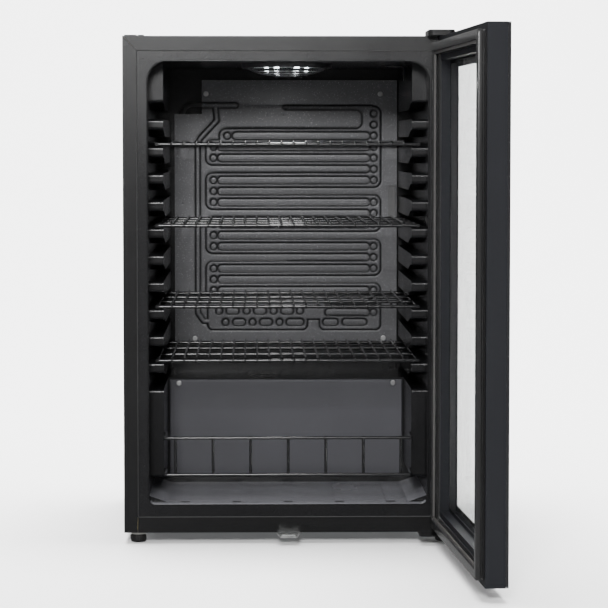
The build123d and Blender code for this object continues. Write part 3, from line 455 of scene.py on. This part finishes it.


# %% [markdown]
# The shoulder is a smooth step of the distance, three millimetres wide, and a shallow pinch just
# outside each passage stands for the crease that the rolling leaves there. The sheet's rim is
# drawn back to the liner and closed. How near a point is to the edge of a passage is kept as an
# attribute of the mesh, which paints shade into the colour along the passages' edges.

# %% The cooling plate's surface
PLATE_LOW, PLATE_HIGH = 239.0, 636.0
PLATE_LEFT, PLATE_RIGHT = -164.0, 168.0
NOTCH_RIGHT, NOTCH_LOW = -123.0, 586.0
PLATE_FRONT, PLATE_BACK = 380.4, 382.0
RAISE, SHOULDER, CREASE = 2.2, 2.4, 0.5
GRID_STEP = 1.2


def smooth_step(value):
    """Eases from 0 to 1: three times the square less twice the cube."""
    value = np.clip(value, 0, 1)
    return value * value * (3 - 2 * value)


def plate_height(x, z):
    """How far the sheet's face stands forward, in millimetres, at each point of the grid."""
    distance = np.minimum(passages(x, z), pipes(x, z))
    height = RAISE * smooth_step(-distance / SHOULDER)
    height -= CREASE * np.exp(-((distance - 0.5) / 0.7) ** 2)
    capillary = line_distance(x, z, (-70, 597), (108, 597), 0.6)
    capillary = np.minimum(capillary, line_distance(x, z, (108, 597), (116, 588), 0.6))
    height += 0.9 * smooth_step(1 - capillary / 1.6)
    crimps = np.abs(np.mod(x + 70, 3.8) - 1.9)
    crimps = np.where((x > -70) & (x < -46) & (np.abs(z - 597) < 3.4), crimps, 9)
    height += 0.7 * smooth_step(1 - crimps / 1.1)
    punched = dots_distance(x, z, [(-26.3, 583.4), (-1.7, 583.4), (-152.0, 451.5)], 1.5)
    return height - 0.9 * smooth_step(-punched / 0.8) * (height < 1)


plate_x = np.linspace(PLATE_LEFT, PLATE_RIGHT, round((PLATE_RIGHT - PLATE_LEFT) / GRID_STEP) + 1)
plate_z = np.linspace(PLATE_LOW, PLATE_HIGH, round((PLATE_HIGH - PLATE_LOW) / GRID_STEP) + 1)
notch_column = int(np.argmin(np.abs(plate_x - NOTCH_RIGHT)))
notch_row = int(np.argmin(np.abs(plate_z - NOTCH_LOW)))
grid_x, grid_z = np.meshgrid(plate_x, plate_z)
front = cabinet_place(grid_x, PLATE_FRONT - plate_height(grid_x, grid_z), grid_z)
cells = grid_faces(*grid_x.shape)
cell_row, cell_column = np.divmod(np.arange(len(cells)), grid_x.shape[1] - 1)
kept = ~((cell_row >= notch_row) & (cell_column < notch_column))
plate_mesh = bpy.data.meshes.new("cooling_plate")
plate_mesh.from_pydata(front.reshape(-1, 3).tolist(), [], cells[kept].tolist())
plate_shell = bmesh.new()
plate_shell.from_mesh(plate_mesh)
bmesh.ops.delete(plate_shell, geom=[v for v in plate_shell.verts if not v.link_faces], context="VERTS")
rim = [edge for edge in plate_shell.edges if edge.is_boundary]
walls = bmesh.ops.extrude_edge_only(plate_shell, edges=rim)["geom"]
rim_back = [item for item in walls if isinstance(item, bmesh.types.BMVert)]
for vertex in rim_back:
    vertex.co.y = FRONT_Y + PLATE_BACK * MM
back_edges = [item for item in walls if isinstance(item, bmesh.types.BMEdge) and item.is_boundary]
bmesh.ops.contextual_create(plate_shell, geom=back_edges)
bmesh.ops.recalc_face_normals(plate_shell, faces=plate_shell.faces)
plate_shell.to_mesh(plate_mesh)
plate_shell.free()
plate_mesh.shade_smooth()
plate_mesh.set_sharp_from_angle(angle=math.radians(60))
corners = np.array([vertex.co for vertex in plate_mesh.vertices])
corner_x, corner_z = (corners[:, 0] - CENTRE_X) / MM, corners[:, 2] / MM
# Painted shade: closeness to a passage's edge, kept so that the colour is darkened there.
edge_distance = np.minimum(passages(corner_x, corner_z), pipes(corner_x, corner_z))
painted_shade_attribute = plate_mesh.attributes.new("painted_crease_shade", "FLOAT", "POINT")
painted_shade_attribute.data.foreach_set("value", np.exp(-((edge_distance + 0.4) / 1.5) ** 2).astype(np.float32))
cooling_plate = bpy.data.objects.new("cooling_plate", plate_mesh)
bpy.context.scene.collection.objects.link(cooling_plate)
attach(cooling_plate, "cabinet")
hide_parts("evaporator_plate")
print("cooling plate faces", len(plate_mesh.polygons))

# %% [markdown]
# ## The lamp's lens
#
# The lens is a shallow clear dome with rings pressed into it that spread the light of six small
# diodes. It is a turned shape: a profile of radius and height, swept once round. The rings are a
# gentle wave in the height, which dies away at the rim.

# %% Lamp lens
lens_low, lens_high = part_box("lamp_lens")
LENS_RADIUS = (lens_high[0] - lens_low[0]) / 2 / MM
LENS_RIM, LENS_BOTTOM = lens_high[2] / MM, lens_low[2] / MM
LENS_X = ((lens_low[0] + lens_high[0]) / 2 - CENTRE_X) / MM
LENS_Y = ((lens_low[1] + lens_high[1]) / 2 - FRONT_Y) / MM


def turned(profile, centre_x, centre_y, sides, name, body, smooth_angle=40.0):
    """A profile of (radius, height) carried round an upright axis: x and y are radius times cos, sin."""
    profile = np.array(profile)
    angles = np.linspace(0, 2 * math.pi, sides, endpoint=False)
    x = centre_x + profile[:, :1] * np.cos(angles)
    y = centre_y + profile[:, :1] * np.sin(angles)
    z = np.broadcast_to(profile[:, 1:], x.shape)
    faces = grid_faces(*x.shape, close_columns=True)
    return make_piece(name, cabinet_place(x, y, z), faces, body, smooth_angle)


DOME_SHARE, RING_HEIGHT, RING_PHASE = 0.92, 0.22, 34
lens_share = np.linspace(1, 0, 60)
dome_rise = (1 - np.sqrt(1 - DOME_SHARE * lens_share**2)) / (1 - math.sqrt(1 - DOME_SHARE))
dome = LENS_BOTTOM + (LENS_RIM - LENS_BOTTOM) * dome_rise
rings = RING_HEIGHT * np.cos(lens_share * RING_PHASE) * (1 - lens_share**4)
outside_lens = np.stack([LENS_RADIUS * lens_share, dome + rings + 0.25], axis=-1)
inside_lens = np.stack([(LENS_RADIUS - 1.6) * lens_share[::-1], (dome + 1.7)[::-1]], axis=-1)
inside_lens[:, 1] = np.minimum(inside_lens[:, 1], LENS_RIM)
lens_profile = np.vstack([outside_lens, inside_lens, outside_lens[:1]])
lens = turned(lens_profile, LENS_X, LENS_Y, 96, "lens", "cabinet")
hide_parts("lamp_lens")

# %% [markdown]
# ## Feet with gripping ribs
#
# The front feet turn on threads, so their pads have fine upright ribs for the fingers. A turned
# profile gives the pad, and a cosine of the angle, strongest half way up, raises the ribs. The
# mechanical model keeps the plain pad and its steel stud; the new foot has both as one surface.

# %% Levelling feet
FOOT_BODIES = ("front_left_foot", "front_right_foot")
PAD_TOP, STUD_RADIUS, STUD_TOP = 10.9, 4.0, 44.0
RIB_COUNT, RIB_DEPTH = 24, 0.5
for body in FOOT_BODIES:
    foot_low, foot_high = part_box(body)
    radius = (foot_high[0] - foot_low[0]) / 2 / MM
    centre_x = ((foot_low[0] + foot_high[0]) / 2 - CENTRE_X) / MM
    centre_y = ((foot_low[1] + foot_high[1]) / 2 - FRONT_Y) / MM
    profile = [(0, 0.3), (radius - 4.5, 0.3), (radius - 3.6, 0)]
    profile += arc((radius - 2.5, 2.5), 2.0, -90, 0, 6)
    profile += [(radius - 0.3, 3.2), (radius, 4.0), (radius, PAD_TOP - 2.2), (radius - 0.4, PAD_TOP - 1.0)]
    profile += [(radius - 1.4, PAD_TOP), (STUD_RADIUS + 0.4, PAD_TOP), (STUD_RADIUS, PAD_TOP + 0.4)]
    profile += [(STUD_RADIUS, STUD_TOP), (STUD_RADIUS - 0.8, STUD_TOP + 0.9), (0, STUD_TOP + 0.9)]
    profile = np.array(profile)
    angles = np.linspace(0, 2 * math.pi, 144, endpoint=False)
    on_rib = np.clip((profile[:, :1] - radius + 0.5) / 0.5, 0, 1) * (profile[:, 1:] > 3.5)
    spread = profile[:, :1] - RIB_DEPTH * on_rib * (0.5 - 0.5 * np.cos(RIB_COUNT * angles))
    x, y = centre_x + spread * np.cos(angles), centre_y + spread * np.sin(angles)
    foot_points = cabinet_place(x, y, np.broadcast_to(profile[:, 1:], x.shape))
    foot = make_piece(body + "_pad", foot_points, grid_faces(*x.shape, close_columns=True), body)
    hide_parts(body)

# %% [markdown]
# ## Shared surface effects
#
# Most finishes here are one of two effects with different numbers: a fine grain, as on powder coat
# and moulded plastic, and a drawn direction, as on metal. Both have a slow, cloudy variation of
# shade as well, as handling and dust leave. Each is a node group, built once. A group gives out
# colour, roughness and a normal, and the shader itself stays in each material.


# %% Node helpers
def new_group(name, inputs, outputs):
    """An empty shader node group: inputs are (name, kind, value), outputs are (name, kind)."""
    group = bpy.data.node_groups.new(name, "ShaderNodeTree")
    for label, kind, value in inputs:
        socket = group.interface.new_socket(name=label, in_out="INPUT", socket_type="NodeSocket" + kind)
        socket.default_value = value
    for label, kind in outputs:
        group.interface.new_socket(name=label, in_out="OUTPUT", socket_type="NodeSocket" + kind)
    return group


def add(tree, kind, **settings):
    """A node of that kind, with its plain settings and, by number or name, its input values."""
    node = tree.nodes.new("ShaderNode" + kind)
    for key, value in settings.pop("values", {}).items():
        node.inputs[key].default_value = value
    for key, value in settings.items():
        setattr(node, key, value)
    return node


def link(tree, start, end):
    """Joins an output socket to an input socket."""
    tree.links.new(start, end)


def maths(tree, operation, first, second):
    """A Math node; each input is a socket or a number."""
    node = add(tree, "Math", operation=operation)
    for place, value in enumerate((first, second)):
        if isinstance(value, (int, float)):
            node.inputs[place].default_value = value
        else:
            link(tree, value, node.inputs[place])
    return node.outputs[0]


def swing_of(tree, noise, amount):
    """A noise as a swing about zero, from minus to plus half the amount."""
    return maths(tree, "MULTIPLY", maths(tree, "SUBTRACT", noise.outputs["Fac"], 0.5), amount)


# %% [markdown]
# ** Grain.** One noise at the grain's size gives the bumps and the speckle, and another, much
# larger, gives the cloudy change of shade. Where a bump is high the colour is a little lighter.

# %% Grain group
grain = new_group(
    "fine_grain",
    [("Colour", "Color", (0.1, 0.1, 0.1, 1)), ("Grains per metre", "Float", 1500.0), ("Depth", "Float", 0.2),
     ("Speckle", "Float", 0.15), ("Cloud", "Float", 0.15), ("Roughness", "Float", 0.4)],
    [("Colour", "Color"), ("Roughness", "Float"), ("Normal", "Vector")],
)
inlet = grain.nodes.new("NodeGroupInput")
outlet = grain.nodes.new("NodeGroupOutput")
place = add(grain, "TexCoord")
fine = add(grain, "TexNoise", values={"Detail": 3.0, "Roughness": 0.6})
cloud = add(grain, "TexNoise", values={"Scale": 6.0, "Detail": 3.0, "Roughness": 0.5})
link(grain, place.outputs["Object"], fine.inputs["Vector"])
link(grain, place.outputs["Object"], cloud.inputs["Vector"])
link(grain, inlet.outputs["Grains per metre"], fine.inputs["Scale"])
fine_swing = swing_of(grain, fine, inlet.outputs["Speckle"])
cloud_swing = swing_of(grain, cloud, inlet.outputs["Cloud"])
swing = maths(grain, "ADD", maths(grain, "MULTIPLY", maths(grain, "ADD", fine_swing, cloud_swing), 2.0), 1.0)
shade = add(grain, "VectorMath", operation="SCALE")
link(grain, inlet.outputs["Colour"], shade.inputs[0])
link(grain, swing, shade.inputs["Scale"])
rough = maths(grain, "ADD", inlet.outputs["Roughness"], maths(grain, "MULTIPLY", cloud_swing, 0.6))
bump = add(grain, "Bump", values={"Distance": 0.0004})
link(grain, inlet.outputs["Depth"], bump.inputs["Strength"])
link(grain, fine.outputs["Fac"], bump.inputs["Height"])
link(grain, shade.outputs[0], outlet.inputs["Colour"])
link(grain, rough, outlet.inputs["Roughness"])
link(grain, bump.outputs["Normal"], outlet.inputs["Normal"])
print("group", grain.name, "nodes", len(grain.nodes))

# %% [markdown]
# **Drawn metal.** Wire, tube and rolled sheet carry fine scratches along the way they were drawn.
# The same noise, squeezed along one axis, makes them; the stretch is an input, so that tubes
# can have almost none and rolled sheet a lot.

# %% Drawn metal group
STREAK_SWING = 0.16
drawn = new_group(
    "drawn_metal",
    [("Colour", "Color", (0.6, 0.6, 0.6, 1)), ("Stretch", "Vector", (40.0, 900.0, 900.0)),
     ("Depth", "Float", 0.1), ("Tarnish", "Float", 0.2), ("Roughness", "Float", 0.3)],
    [("Colour", "Color"), ("Roughness", "Float"), ("Normal", "Vector")],
)
inlet = drawn.nodes.new("NodeGroupInput")
outlet = drawn.nodes.new("NodeGroupOutput")
place = add(drawn, "TexCoord")
pull = add(drawn, "VectorMath", operation="MULTIPLY")
streak = add(drawn, "TexNoise", values={"Scale": 1.0, "Detail": 2.0})
stain = add(drawn, "TexNoise", values={"Scale": 28.0, "Detail": 5.0, "Roughness": 0.62})
link(drawn, place.outputs["Object"], pull.inputs[0])
link(drawn, inlet.outputs["Stretch"], pull.inputs[1])
link(drawn, pull.outputs[0], streak.inputs["Vector"])
link(drawn, place.outputs["Object"], stain.inputs["Vector"])
stained = swing_of(drawn, stain, inlet.outputs["Tarnish"])
streaked = swing_of(drawn, streak, STREAK_SWING)
swing = maths(drawn, "ADD", maths(drawn, "MULTIPLY", maths(drawn, "ADD", stained, streaked), 2.0), 1.0)
shade = add(drawn, "VectorMath", operation="SCALE")
link(drawn, inlet.outputs["Colour"], shade.inputs[0])
link(drawn, swing, shade.inputs["Scale"])
rough = maths(drawn, "ADD", inlet.outputs["Roughness"], maths(drawn, "ADD", streaked, stained))
bump = add(drawn, "Bump", values={"Distance": 0.0002})
link(drawn, inlet.outputs["Depth"], bump.inputs["Strength"])
link(drawn, streak.outputs["Fac"], bump.inputs["Height"])
link(drawn, shade.outputs[0], outlet.inputs["Colour"])
link(drawn, rough, outlet.inputs["Roughness"])
link(drawn, bump.outputs["Normal"], outlet.inputs["Normal"])
print("group", drawn.name, "nodes", len(drawn.nodes))


# %% [markdown]
# A material is then one shader fed by one group. Whatever is the same all over, such as metallic,
# coat or transmission, is set on the shader's own socket.

# %% Material makers
def shader_material(name, **sockets):
    """A new material with a Principled shader whose named sockets are set to plain values."""
    material = bpy.data.materials.new(name)
    material.use_nodes = True
    shader = material.node_tree.nodes["Principled BSDF"]
    for label, value in sockets.items():
        shader.inputs[label.replace("_", " ")].default_value = value
    return material, shader


def feed(material, shader, group, **values):
    """Places a group in a material and feeds the shader's colour, roughness and normal from it."""
    tree = material.node_tree
    node = tree.nodes.new("ShaderNodeGroup")
    node.node_tree = group
    for label, value in values.items():
        node.inputs[label.replace("_", " ")].default_value = value
    link(tree, node.outputs["Colour"], shader.inputs["Base Color"])
    link(tree, node.outputs["Roughness"], shader.inputs["Roughness"])
    link(tree, node.outputs["Normal"], shader.inputs["Normal"])
    return node


def grained(name, colour, grains, depth, speckle, cloud, roughness, **sockets):
    """A plastic, rubber or paint finish from the grain group."""
    material, shader = shader_material(name, **sockets)
    feed(material, shader, grain, Colour=(*colour, 1), Grains_per_metre=grains, Depth=depth,
         Speckle=speckle, Cloud=cloud, Roughness=roughness)
    return material


def metal(name, colour, stretch, depth, tarnish, roughness, **sockets):
    """A bare metal finish from the drawn metal group."""
    material, shader = shader_material(name, Metallic=1.0, **sockets)
    feed(material, shader, drawn, Colour=(*colour, 1), Stretch=stretch, Depth=depth,
         Tarnish=tarnish, Roughness=roughness)
    return material


# %% [markdown]
# ## The finishes
#
# Charcoal powder coat covers the steel, with a fine speckle in its grain. The liner is moulded
# plastic of nearly the same black, a little glossier. Vinyl, coated wire, enamel and rubber are
# all nearly black too, and what tells them apart is how sharply they reflect, so each has its own
# roughness, and some have a coat.

# %% Paints and plastics
charcoal_coat = grained("charcoal_coat", (0.006, 0.006, 0.0062), 1500, 0.22, 0.5, 0.25, 0.25,
                        Specular_IOR_Level=0.18)
liner_plastic = grained("liner_plastic", (0.006, 0.006, 0.0065), 1300, 0.16, 0.25, 0.3, 0.24,
                        Specular_IOR_Level=0.22)
panel_plastic = grained("panel_plastic", (0.042, 0.042, 0.048), 900, 0.15, 0.2, 0.3, 0.42,
                        Specular_IOR_Level=0.2)
trim_plastic = grained("trim_plastic", (0.014, 0.014, 0.015), 1200, 0.2, 0.2, 0.2, 0.38)
white_plastic = grained("white_plastic", (0.78, 0.78, 0.75), 700, 0.08, 0.04, 0.1, 0.3)
knob_plastic = grained("knob_plastic", (0.62, 0.62, 0.6), 800, 0.1, 0.05, 0.12, 0.35)
gasket_vinyl = grained("gasket_vinyl", (0.01, 0.01, 0.0102), 420, 0.12, 0.12, 0.25, 0.2)
foot_rubber = grained("foot_rubber", (0.006, 0.006, 0.006), 900, 0.3, 0.3, 0.3, 0.45,
                      Specular_IOR_Level=0.25)
door_coat = grained("door_coat", (0.0095, 0.01, 0.0118), 900, 0.1, 0.12, 0.12, 0.5,
                    Specular_IOR_Level=0.07)
board_lacquer = grained("board_lacquer", (0.7, 0.72, 0.7), 300, 0.1, 0.1, 0.15, 0.35)
magnet_ferrite = grained("magnet_ferrite", (0.03, 0.028, 0.027), 500, 0.3, 0.3, 0.3, 0.7)
seam_sealant = grained("seam_sealant", (0.006, 0.006, 0.006), 600, 0.2, 0.2, 0.2, 0.6)
coated_wire = grained("coated_wire", (0.007, 0.007, 0.0075), 260, 0.12, 0.2, 0.3, 0.2,
                      Specular_IOR_Level=0.3, Coat_Weight=0.12, Coat_Roughness=0.1)
black_enamel = grained("black_enamel", (0.014, 0.014, 0.014), 160, 0.25, 0.2, 0.3, 0.28,
                       Coat_Weight=0.5, Coat_Roughness=0.15)
pipe_foam = grained("pipe_foam", (0.016, 0.016, 0.017), 700, 0.8, 0.5, 0.3, 0.85)
insulation = grained("insulation", (0.72, 0.6, 0.3), 500, 0.8, 0.25, 0.2, 0.8)

# %% [markdown]
# The cabin's floor is the same moulding as its walls, but light from above falls on it: where the
# liner faces up near the bottom, its colour goes over to a lighter, bluer grey as painted light.

# %% The floor of the liner, lighter with painted light
tree = liner_plastic.node_tree
shader = tree.nodes["Principled BSDF"]
finish = tree.nodes["Group"]
surface, place = add(tree, "NewGeometry"), add(tree, "TexCoord")
facing, spot = add(tree, "SeparateXYZ"), add(tree, "SeparateXYZ")
link(tree, surface.outputs["Normal"], facing.inputs[0])
link(tree, place.outputs["Object"], spot.inputs[0])
FLOOR_TOP, LEAST_TILT = 0.07, 0.6
faces_up = maths(tree, "GREATER_THAN", facing.outputs["Z"], LEAST_TILT)
low_down = maths(tree, "LESS_THAN", spot.outputs["Z"], FLOOR_TOP)
# Painted light: the up-facing liner near the floor is mixed to a lighter grey.
painted_floor_light = add(tree, "Mix", data_type="RGBA")
painted_floor_light.inputs["B"].default_value = (0.15, 0.15, 0.165, 1)
link(tree, maths(tree, "MULTIPLY", faces_up, low_down), painted_floor_light.inputs["Factor"])
link(tree, finish.outputs["Colour"], painted_floor_light.inputs["A"])
link(tree, painted_floor_light.outputs["Result"], shader.inputs["Base Color"])
print("worn below", FLOOR_TOP, "m")

# %% Bare metals
zinc_plate = metal("zinc_plate", (0.6, 0.6, 0.57), (120, 500, 500), 0.1, 0.25, 0.32)
bright_strike = metal("bright_strike", (0.66, 0.68, 0.67), (60, 700, 700), 0.15, 0.2, 0.28)
screw_plate = metal("screw_plate", (0.3, 0.3, 0.3), (300, 500, 300), 0.1, 0.25, 0.34)
spacer_metal = metal("spacer_metal", (0.07, 0.07, 0.072), (500, 500, 60), 0.1, 0.15, 0.4)
lock_chrome = metal("lock_chrome", (0.78, 0.78, 0.79), (300, 300, 300), 0.03, 0.05, 0.12)
copper_tube = metal("copper_tube", (0.75, 0.38, 0.24), (500, 500, 60), 0.08, 0.35, 0.28)

# %% [markdown]
# **Galvanised sheet** shows its zinc crystals as a patchwork of greys. A Voronoi pattern gives
# each crystal its own shade, and the roughness follows it, so that the patches flash in turn.

# %% Galvanised sheet
CRYSTALS_PER_METRE = 90.0
galvanised, shader = shader_material("galvanised", Metallic=1.0)
tree = galvanised.node_tree
place = add(tree, "TexCoord")
crystals = add(tree, "TexVoronoi", values={"Scale": CRYSTALS_PER_METRE, "Randomness": 1.0})
wobble = add(tree, "TexNoise", values={"Scale": 60.0, "Detail": 3.0})
shift = add(tree, "VectorMath", operation="MULTIPLY_ADD")
shift.inputs[1].default_value = (0.01, 0.01, 0.01)
link(tree, place.outputs["Object"], wobble.inputs["Vector"])
link(tree, wobble.outputs["Color"], shift.inputs[0])
link(tree, place.outputs["Object"], shift.inputs[2])
link(tree, shift.outputs[0], crystals.inputs["Vector"])
tone = add(tree, "ValToRGB")
tone.color_ramp.elements[0].color = (0.36, 0.37, 0.38, 1)
tone.color_ramp.elements[1].color = (0.6, 0.61, 0.62, 1)
split_tone = add(tree, "SeparateColor")
link(tree, crystals.outputs["Color"], split_tone.inputs[0])
link(tree, split_tone.outputs[0], tone.inputs["Fac"])
link(tree, tone.outputs["Color"], shader.inputs["Base Color"])
sheen = maths(tree, "ADD", maths(tree, "MULTIPLY", split_tone.outputs[1], 0.2), 0.32)
link(tree, sheen, shader.inputs["Roughness"])
print("galvanised crystals about", round(1000 / CRYSTALS_PER_METRE), "mm across")

# %% [markdown]
# ** The cooling plate's coat** is grey lacquer full of tiny bright flakes. The grain group gives
# the lacquer, and a fine Voronoi pattern, cut off hard so that only a few cells pass, adds the
# flakes to the colour. The attribute kept with the mesh darkens the edges of the passages with
# painted shade.

# %% Flaked lacquer
FLAKES_PER_METRE, FLAKE_SIZE, FLAKES_LEFT_OUT = 900.0, 0.32, 0.9
flaked_lacquer, shader = shader_material("flaked_lacquer", Metallic=0.15, Specular_IOR_Level=0.3)
tree = flaked_lacquer.node_tree
base = feed(flaked_lacquer, shader, grain, Colour=(0.06, 0.06, 0.064, 1), Grains_per_metre=700.0,
            Depth=0.35, Speckle=0.45, Cloud=0.35, Roughness=0.4)
place = add(tree, "TexCoord")
flakes = add(tree, "TexVoronoi", values={"Scale": FLAKES_PER_METRE})
link(tree, place.outputs["Object"], flakes.inputs["Vector"])
near = maths(tree, "LESS_THAN", flakes.outputs["Distance"], FLAKE_SIZE)
pick = add(tree, "SeparateColor")
link(tree, flakes.outputs["Color"], pick.inputs[0])
few = maths(tree, "GREATER_THAN", pick.outputs[0], FLAKES_LEFT_OUT)
mix = add(tree, "Mix", data_type="RGBA")
mix.inputs["B"].default_value = (0.24, 0.24, 0.25, 1)
link(tree, maths(tree, "MULTIPLY", near, few), mix.inputs["Factor"])
link(tree, base.outputs["Colour"], mix.inputs["A"])
# Painted shade: the attribute mixes the colour towards black along the passages' edges.
painted_crease_shade = add(tree, "Attribute", attribute_name="painted_crease_shade")
painted_shade_mix = add(tree, "Mix", data_type="RGBA")
painted_shade_mix.inputs["B"].default_value = (0.006, 0.006, 0.006, 1)
link(tree, maths(tree, "MULTIPLY", painted_crease_shade.outputs["Fac"], 0.92), painted_shade_mix.inputs["Factor"])
link(tree, mix.outputs["Result"], painted_shade_mix.inputs["A"])
link(tree, painted_shade_mix.outputs["Result"], shader.inputs["Base Color"])
print("flakes about", round(1000 / FLAKES_PER_METRE, 1), "mm apart")

# %% [markdown]
# **Glass** keeps a plain transmission of one, no metal and an index a little above air: a thin
# pane bends light so little that a low index looks right, and it keeps the view through two panes
# clear. The ceramic border is its opposite: black, hard and glossy.

# %% Glass, ceramic and lamp
clear_glass, shader = shader_material(
    "clear_glass", Transmission_Weight=1.0, Roughness=0.0, IOR=1.08, Base_Color=(0.985, 0.995, 0.99, 1)
)
lens_glass, shader = shader_material(
    "lens_glass", Transmission_Weight=1.0, Roughness=0.04, IOR=1.42, Base_Color=(0.8, 0.82, 0.84, 1)
)
ceramic_black = grained("ceramic_black", (0.008, 0.008, 0.009), 2200, 0.05, 0.2, 0.1, 0.12, Coat_Weight=0.6)
diode_glow, shader = shader_material(
    "diode_glow", Base_Color=(0.9, 0.9, 0.85, 1), Roughness=0.4,
    Emission_Color=(0.95, 0.98, 1.0, 1), Emission_Strength=22.0,
)
print("materials", len(bpy.data.materials))

# %% [markdown]
# ## Dressing the model
#
# Each finish is given to its parts by name. A mechanical part keeps its mesh, and only its
# material slot changes.

# %% Give each part its finish
FINISHES = {
    charcoal_coat: ["outer_wrap", "bottom_rail", "top_hinge_bracket", "bottom_hinge_bracket",
                    "hinge_hole_caps", "top_hinge_cover"],
    galvanised: ["base_pan", "back_panel", "compressor_tray"],
    zinc_plate: ["hinge_pins", "frame_screws", "compressor_bolts", "condenser_brackets",
                 "foot_washers", "lock_cam"],
    bright_strike: ["lock_strike"],
    screw_plate: ["liner_screws"],
    liner_plastic: ["liner", "drip_gutter"],
    panel_plastic: ["step_panel"],
    trim_plastic: ["lamp_housing", "sensor_clip", "relay_cover", "thermostat_body", "door_bushings",
                   "cord_gland"],
    pipe_foam: ["suction_sleeve"],
    white_plastic: ["evaporation_tray", "drain_tube"],
    knob_plastic: ["thermostat_knob"],
    insulation: ["foam_body"],
    foot_rubber: ["rear_feet", "compressor_grommets"],
    board_lacquer: ["led_board"],
    diode_glow: ["lamp_leds"],
    coated_wire: ["shelf_1", "shelf_2", "shelf_3", "shelf_4", "guard_rail"],
    black_enamel: ["compressor", "condenser"],
    copper_tube: ["discharge_tube", "suction_tube", "filter_drier", "liquid_tube", "sensor_bulb"],
    door_coat: ["door_stiles", "door_rails"],
    clear_glass: ["outer_glass", "inner_glass"],
    spacer_metal: ["glass_spacer"],
    magnet_ferrite: ["gasket_magnets"],
    lock_chrome: ["lock_barrel"],
}
for finish, names in FINISHES.items():
    for name in names:
        NODES[name].data.materials.clear()
        NODES[name].data.materials.append(finish)
dressed = {name for names in FINISHES.values() for name in names}
print("nodes left to new pieces:", sorted(set(NODES) - dressed))

# %% Finishes of the new pieces
NEW_FINISHES = (
    (gasket, gasket_vinyl, "gasket_rubber"),
    (glass_border, ceramic_black, "door_glass"),
    (inner_border, ceramic_black, "door_glass"),
    (seam_line, seam_sealant, "liner_plastic"),
    (mouth_bead, liner_plastic, "liner_plastic"),
    (cooling_plate, flaked_lacquer, "evaporator_aluminium"),
    (lens, lens_glass, "lamp_lens"),
)
for piece, finish, slot_name in NEW_FINISHES:
    piece.data.materials.append(finish)
for body in FOOT_BODIES:
    bpy.data.objects[body + "_pad"].data.materials.append(foot_rubber)
print("new pieces", len(NEW_FINISHES) + len(FOOT_BODIES))

# %% [markdown]
# ## Studio
#
# A plain pale sheet curves up behind the cooler, so that floor and background are one, and has
# lights of its own. A soft key light stands over the camera, where satin paint mirrors it most
# near the top, and a weaker one fills the left side. Black paint would mirror so bright a sheet
# as grey, so the sheet and its lights are kept out of glossy reflections, as dark flags do in a
# studio. The cooler's own lamp lights its inside: the glow of the diodes is only their look, and
# a small light under the lens does the work.

# %% Floor, lights and world
SHEET_WIDTH, SHEET_FRONT, BEND_START, BEND_RADIUS, SHEET_TOP = 14.0, -6.0, 2.2, 1.6, 7.0
bend = np.radians(np.linspace(0, 90, 24))
path_y = np.concatenate([[SHEET_FRONT], BEND_START + BEND_RADIUS * np.sin(bend), [BEND_START + BEND_RADIUS]])
path_z = np.concatenate([[0], BEND_RADIUS * (1 - np.cos(bend)), [SHEET_TOP]])
sheet_x = np.array([-SHEET_WIDTH / 2, SHEET_WIDTH / 2])
backdrop_points = np.stack(np.broadcast_arrays(sheet_x, path_y[:, None], path_z[:, None]), axis=-1)
backdrop_mesh = bpy.data.meshes.new("backdrop")
backdrop_faces = grid_faces(len(path_y), 2)
backdrop_mesh.from_pydata(backdrop_points.reshape(-1, 3).tolist(), [], backdrop_faces.tolist())
backdrop_mesh.shade_smooth()
backdrop = bpy.data.objects.new("backdrop", backdrop_mesh)
bpy.context.scene.collection.objects.link(backdrop)
paper, shader = shader_material("paper", Base_Color=(0.95, 0.95, 0.95, 1), Roughness=0.9)
backdrop_mesh.materials.append(paper)
backdrop.visible_glossy = False


def aim_at(holder, place, target):
    """Puts a light or camera at a place and turns its -Z axis towards the target, with Y up."""
    holder.location = place
    holder.rotation_euler = (Vector(target) - Vector(place)).to_track_quat("-Z", "Y").to_euler()
    bpy.context.scene.collection.objects.link(holder)


def soft_light(name, place, target, size, power, mirrored=True):
    """A square area light that points at the target; glossy paint may mirror it or not."""
    lamp = bpy.data.lights.new(name, "AREA")
    lamp.shape, lamp.size, lamp.energy = "SQUARE", size, power
    holder = bpy.data.objects.new(name, lamp)
    holder.visible_glossy = mirrored
    aim_at(holder, place, target)


soft_light("key_light", (-0.3, -3.4, 1.55), (0, 0, 0.5), 0.7, 165)
soft_light("side_light", (-2.8, -1.6, 1.5), (0, 0, 0.35), 1.0, 26)
soft_light("backdrop_light", (0, 0.9, 4.6), (0, 3.7, 1.4), 3.0, 980, mirrored=False)
soft_light("floor_light", (0, 0.6, 5.2), (0, 0.4, 0), 3.4, 190, mirrored=False)
lamp_place = cabinet_place(LENS_X, LENS_Y - 60.0, LENS_BOTTOM - 3.0).tolist()
soft_light("cabin_light", lamp_place, (lamp_place[0], lamp_place[1], 0.1), 0.05, 0.8)
WORLD_STRENGTH = 0.32
world = bpy.data.worlds.new("studio")
world.use_nodes = True
world.node_tree.nodes["Background"].inputs["Color"].default_value = (1, 1, 1, 1)
world.node_tree.nodes["Background"].inputs["Strength"].default_value = WORLD_STRENGTH
bpy.context.scene.world = world
print("lights", len(bpy.data.lights))

# %% [markdown]
# ## Camera
#
# A long lens from three and a half metres, a little above the middle of the cooler and almost
# square to its front. The open door then shows its free end and its inner face at a steep slant.

# %% Camera
EYE, AIM = (-49.5, -3433.4, 543.7), (21.3, 0.0, 325.6)
FOCAL_LENGTH, SENSOR_WIDTH = 150.9, 36.0
camera_data = bpy.data.cameras.new("camera")
camera_data.sensor_width, camera_data.lens = SENSOR_WIDTH, FOCAL_LENGTH
camera_data.clip_start, camera_data.clip_end = 0.1, 60.0
camera = bpy.data.objects.new("camera", camera_data)
aim_at(camera, cabinet_place(*EYE).tolist(), cabinet_place(*AIM).tolist())
bpy.context.scene.camera = camera
print("camera", [round(value, 3) for value in camera.location])
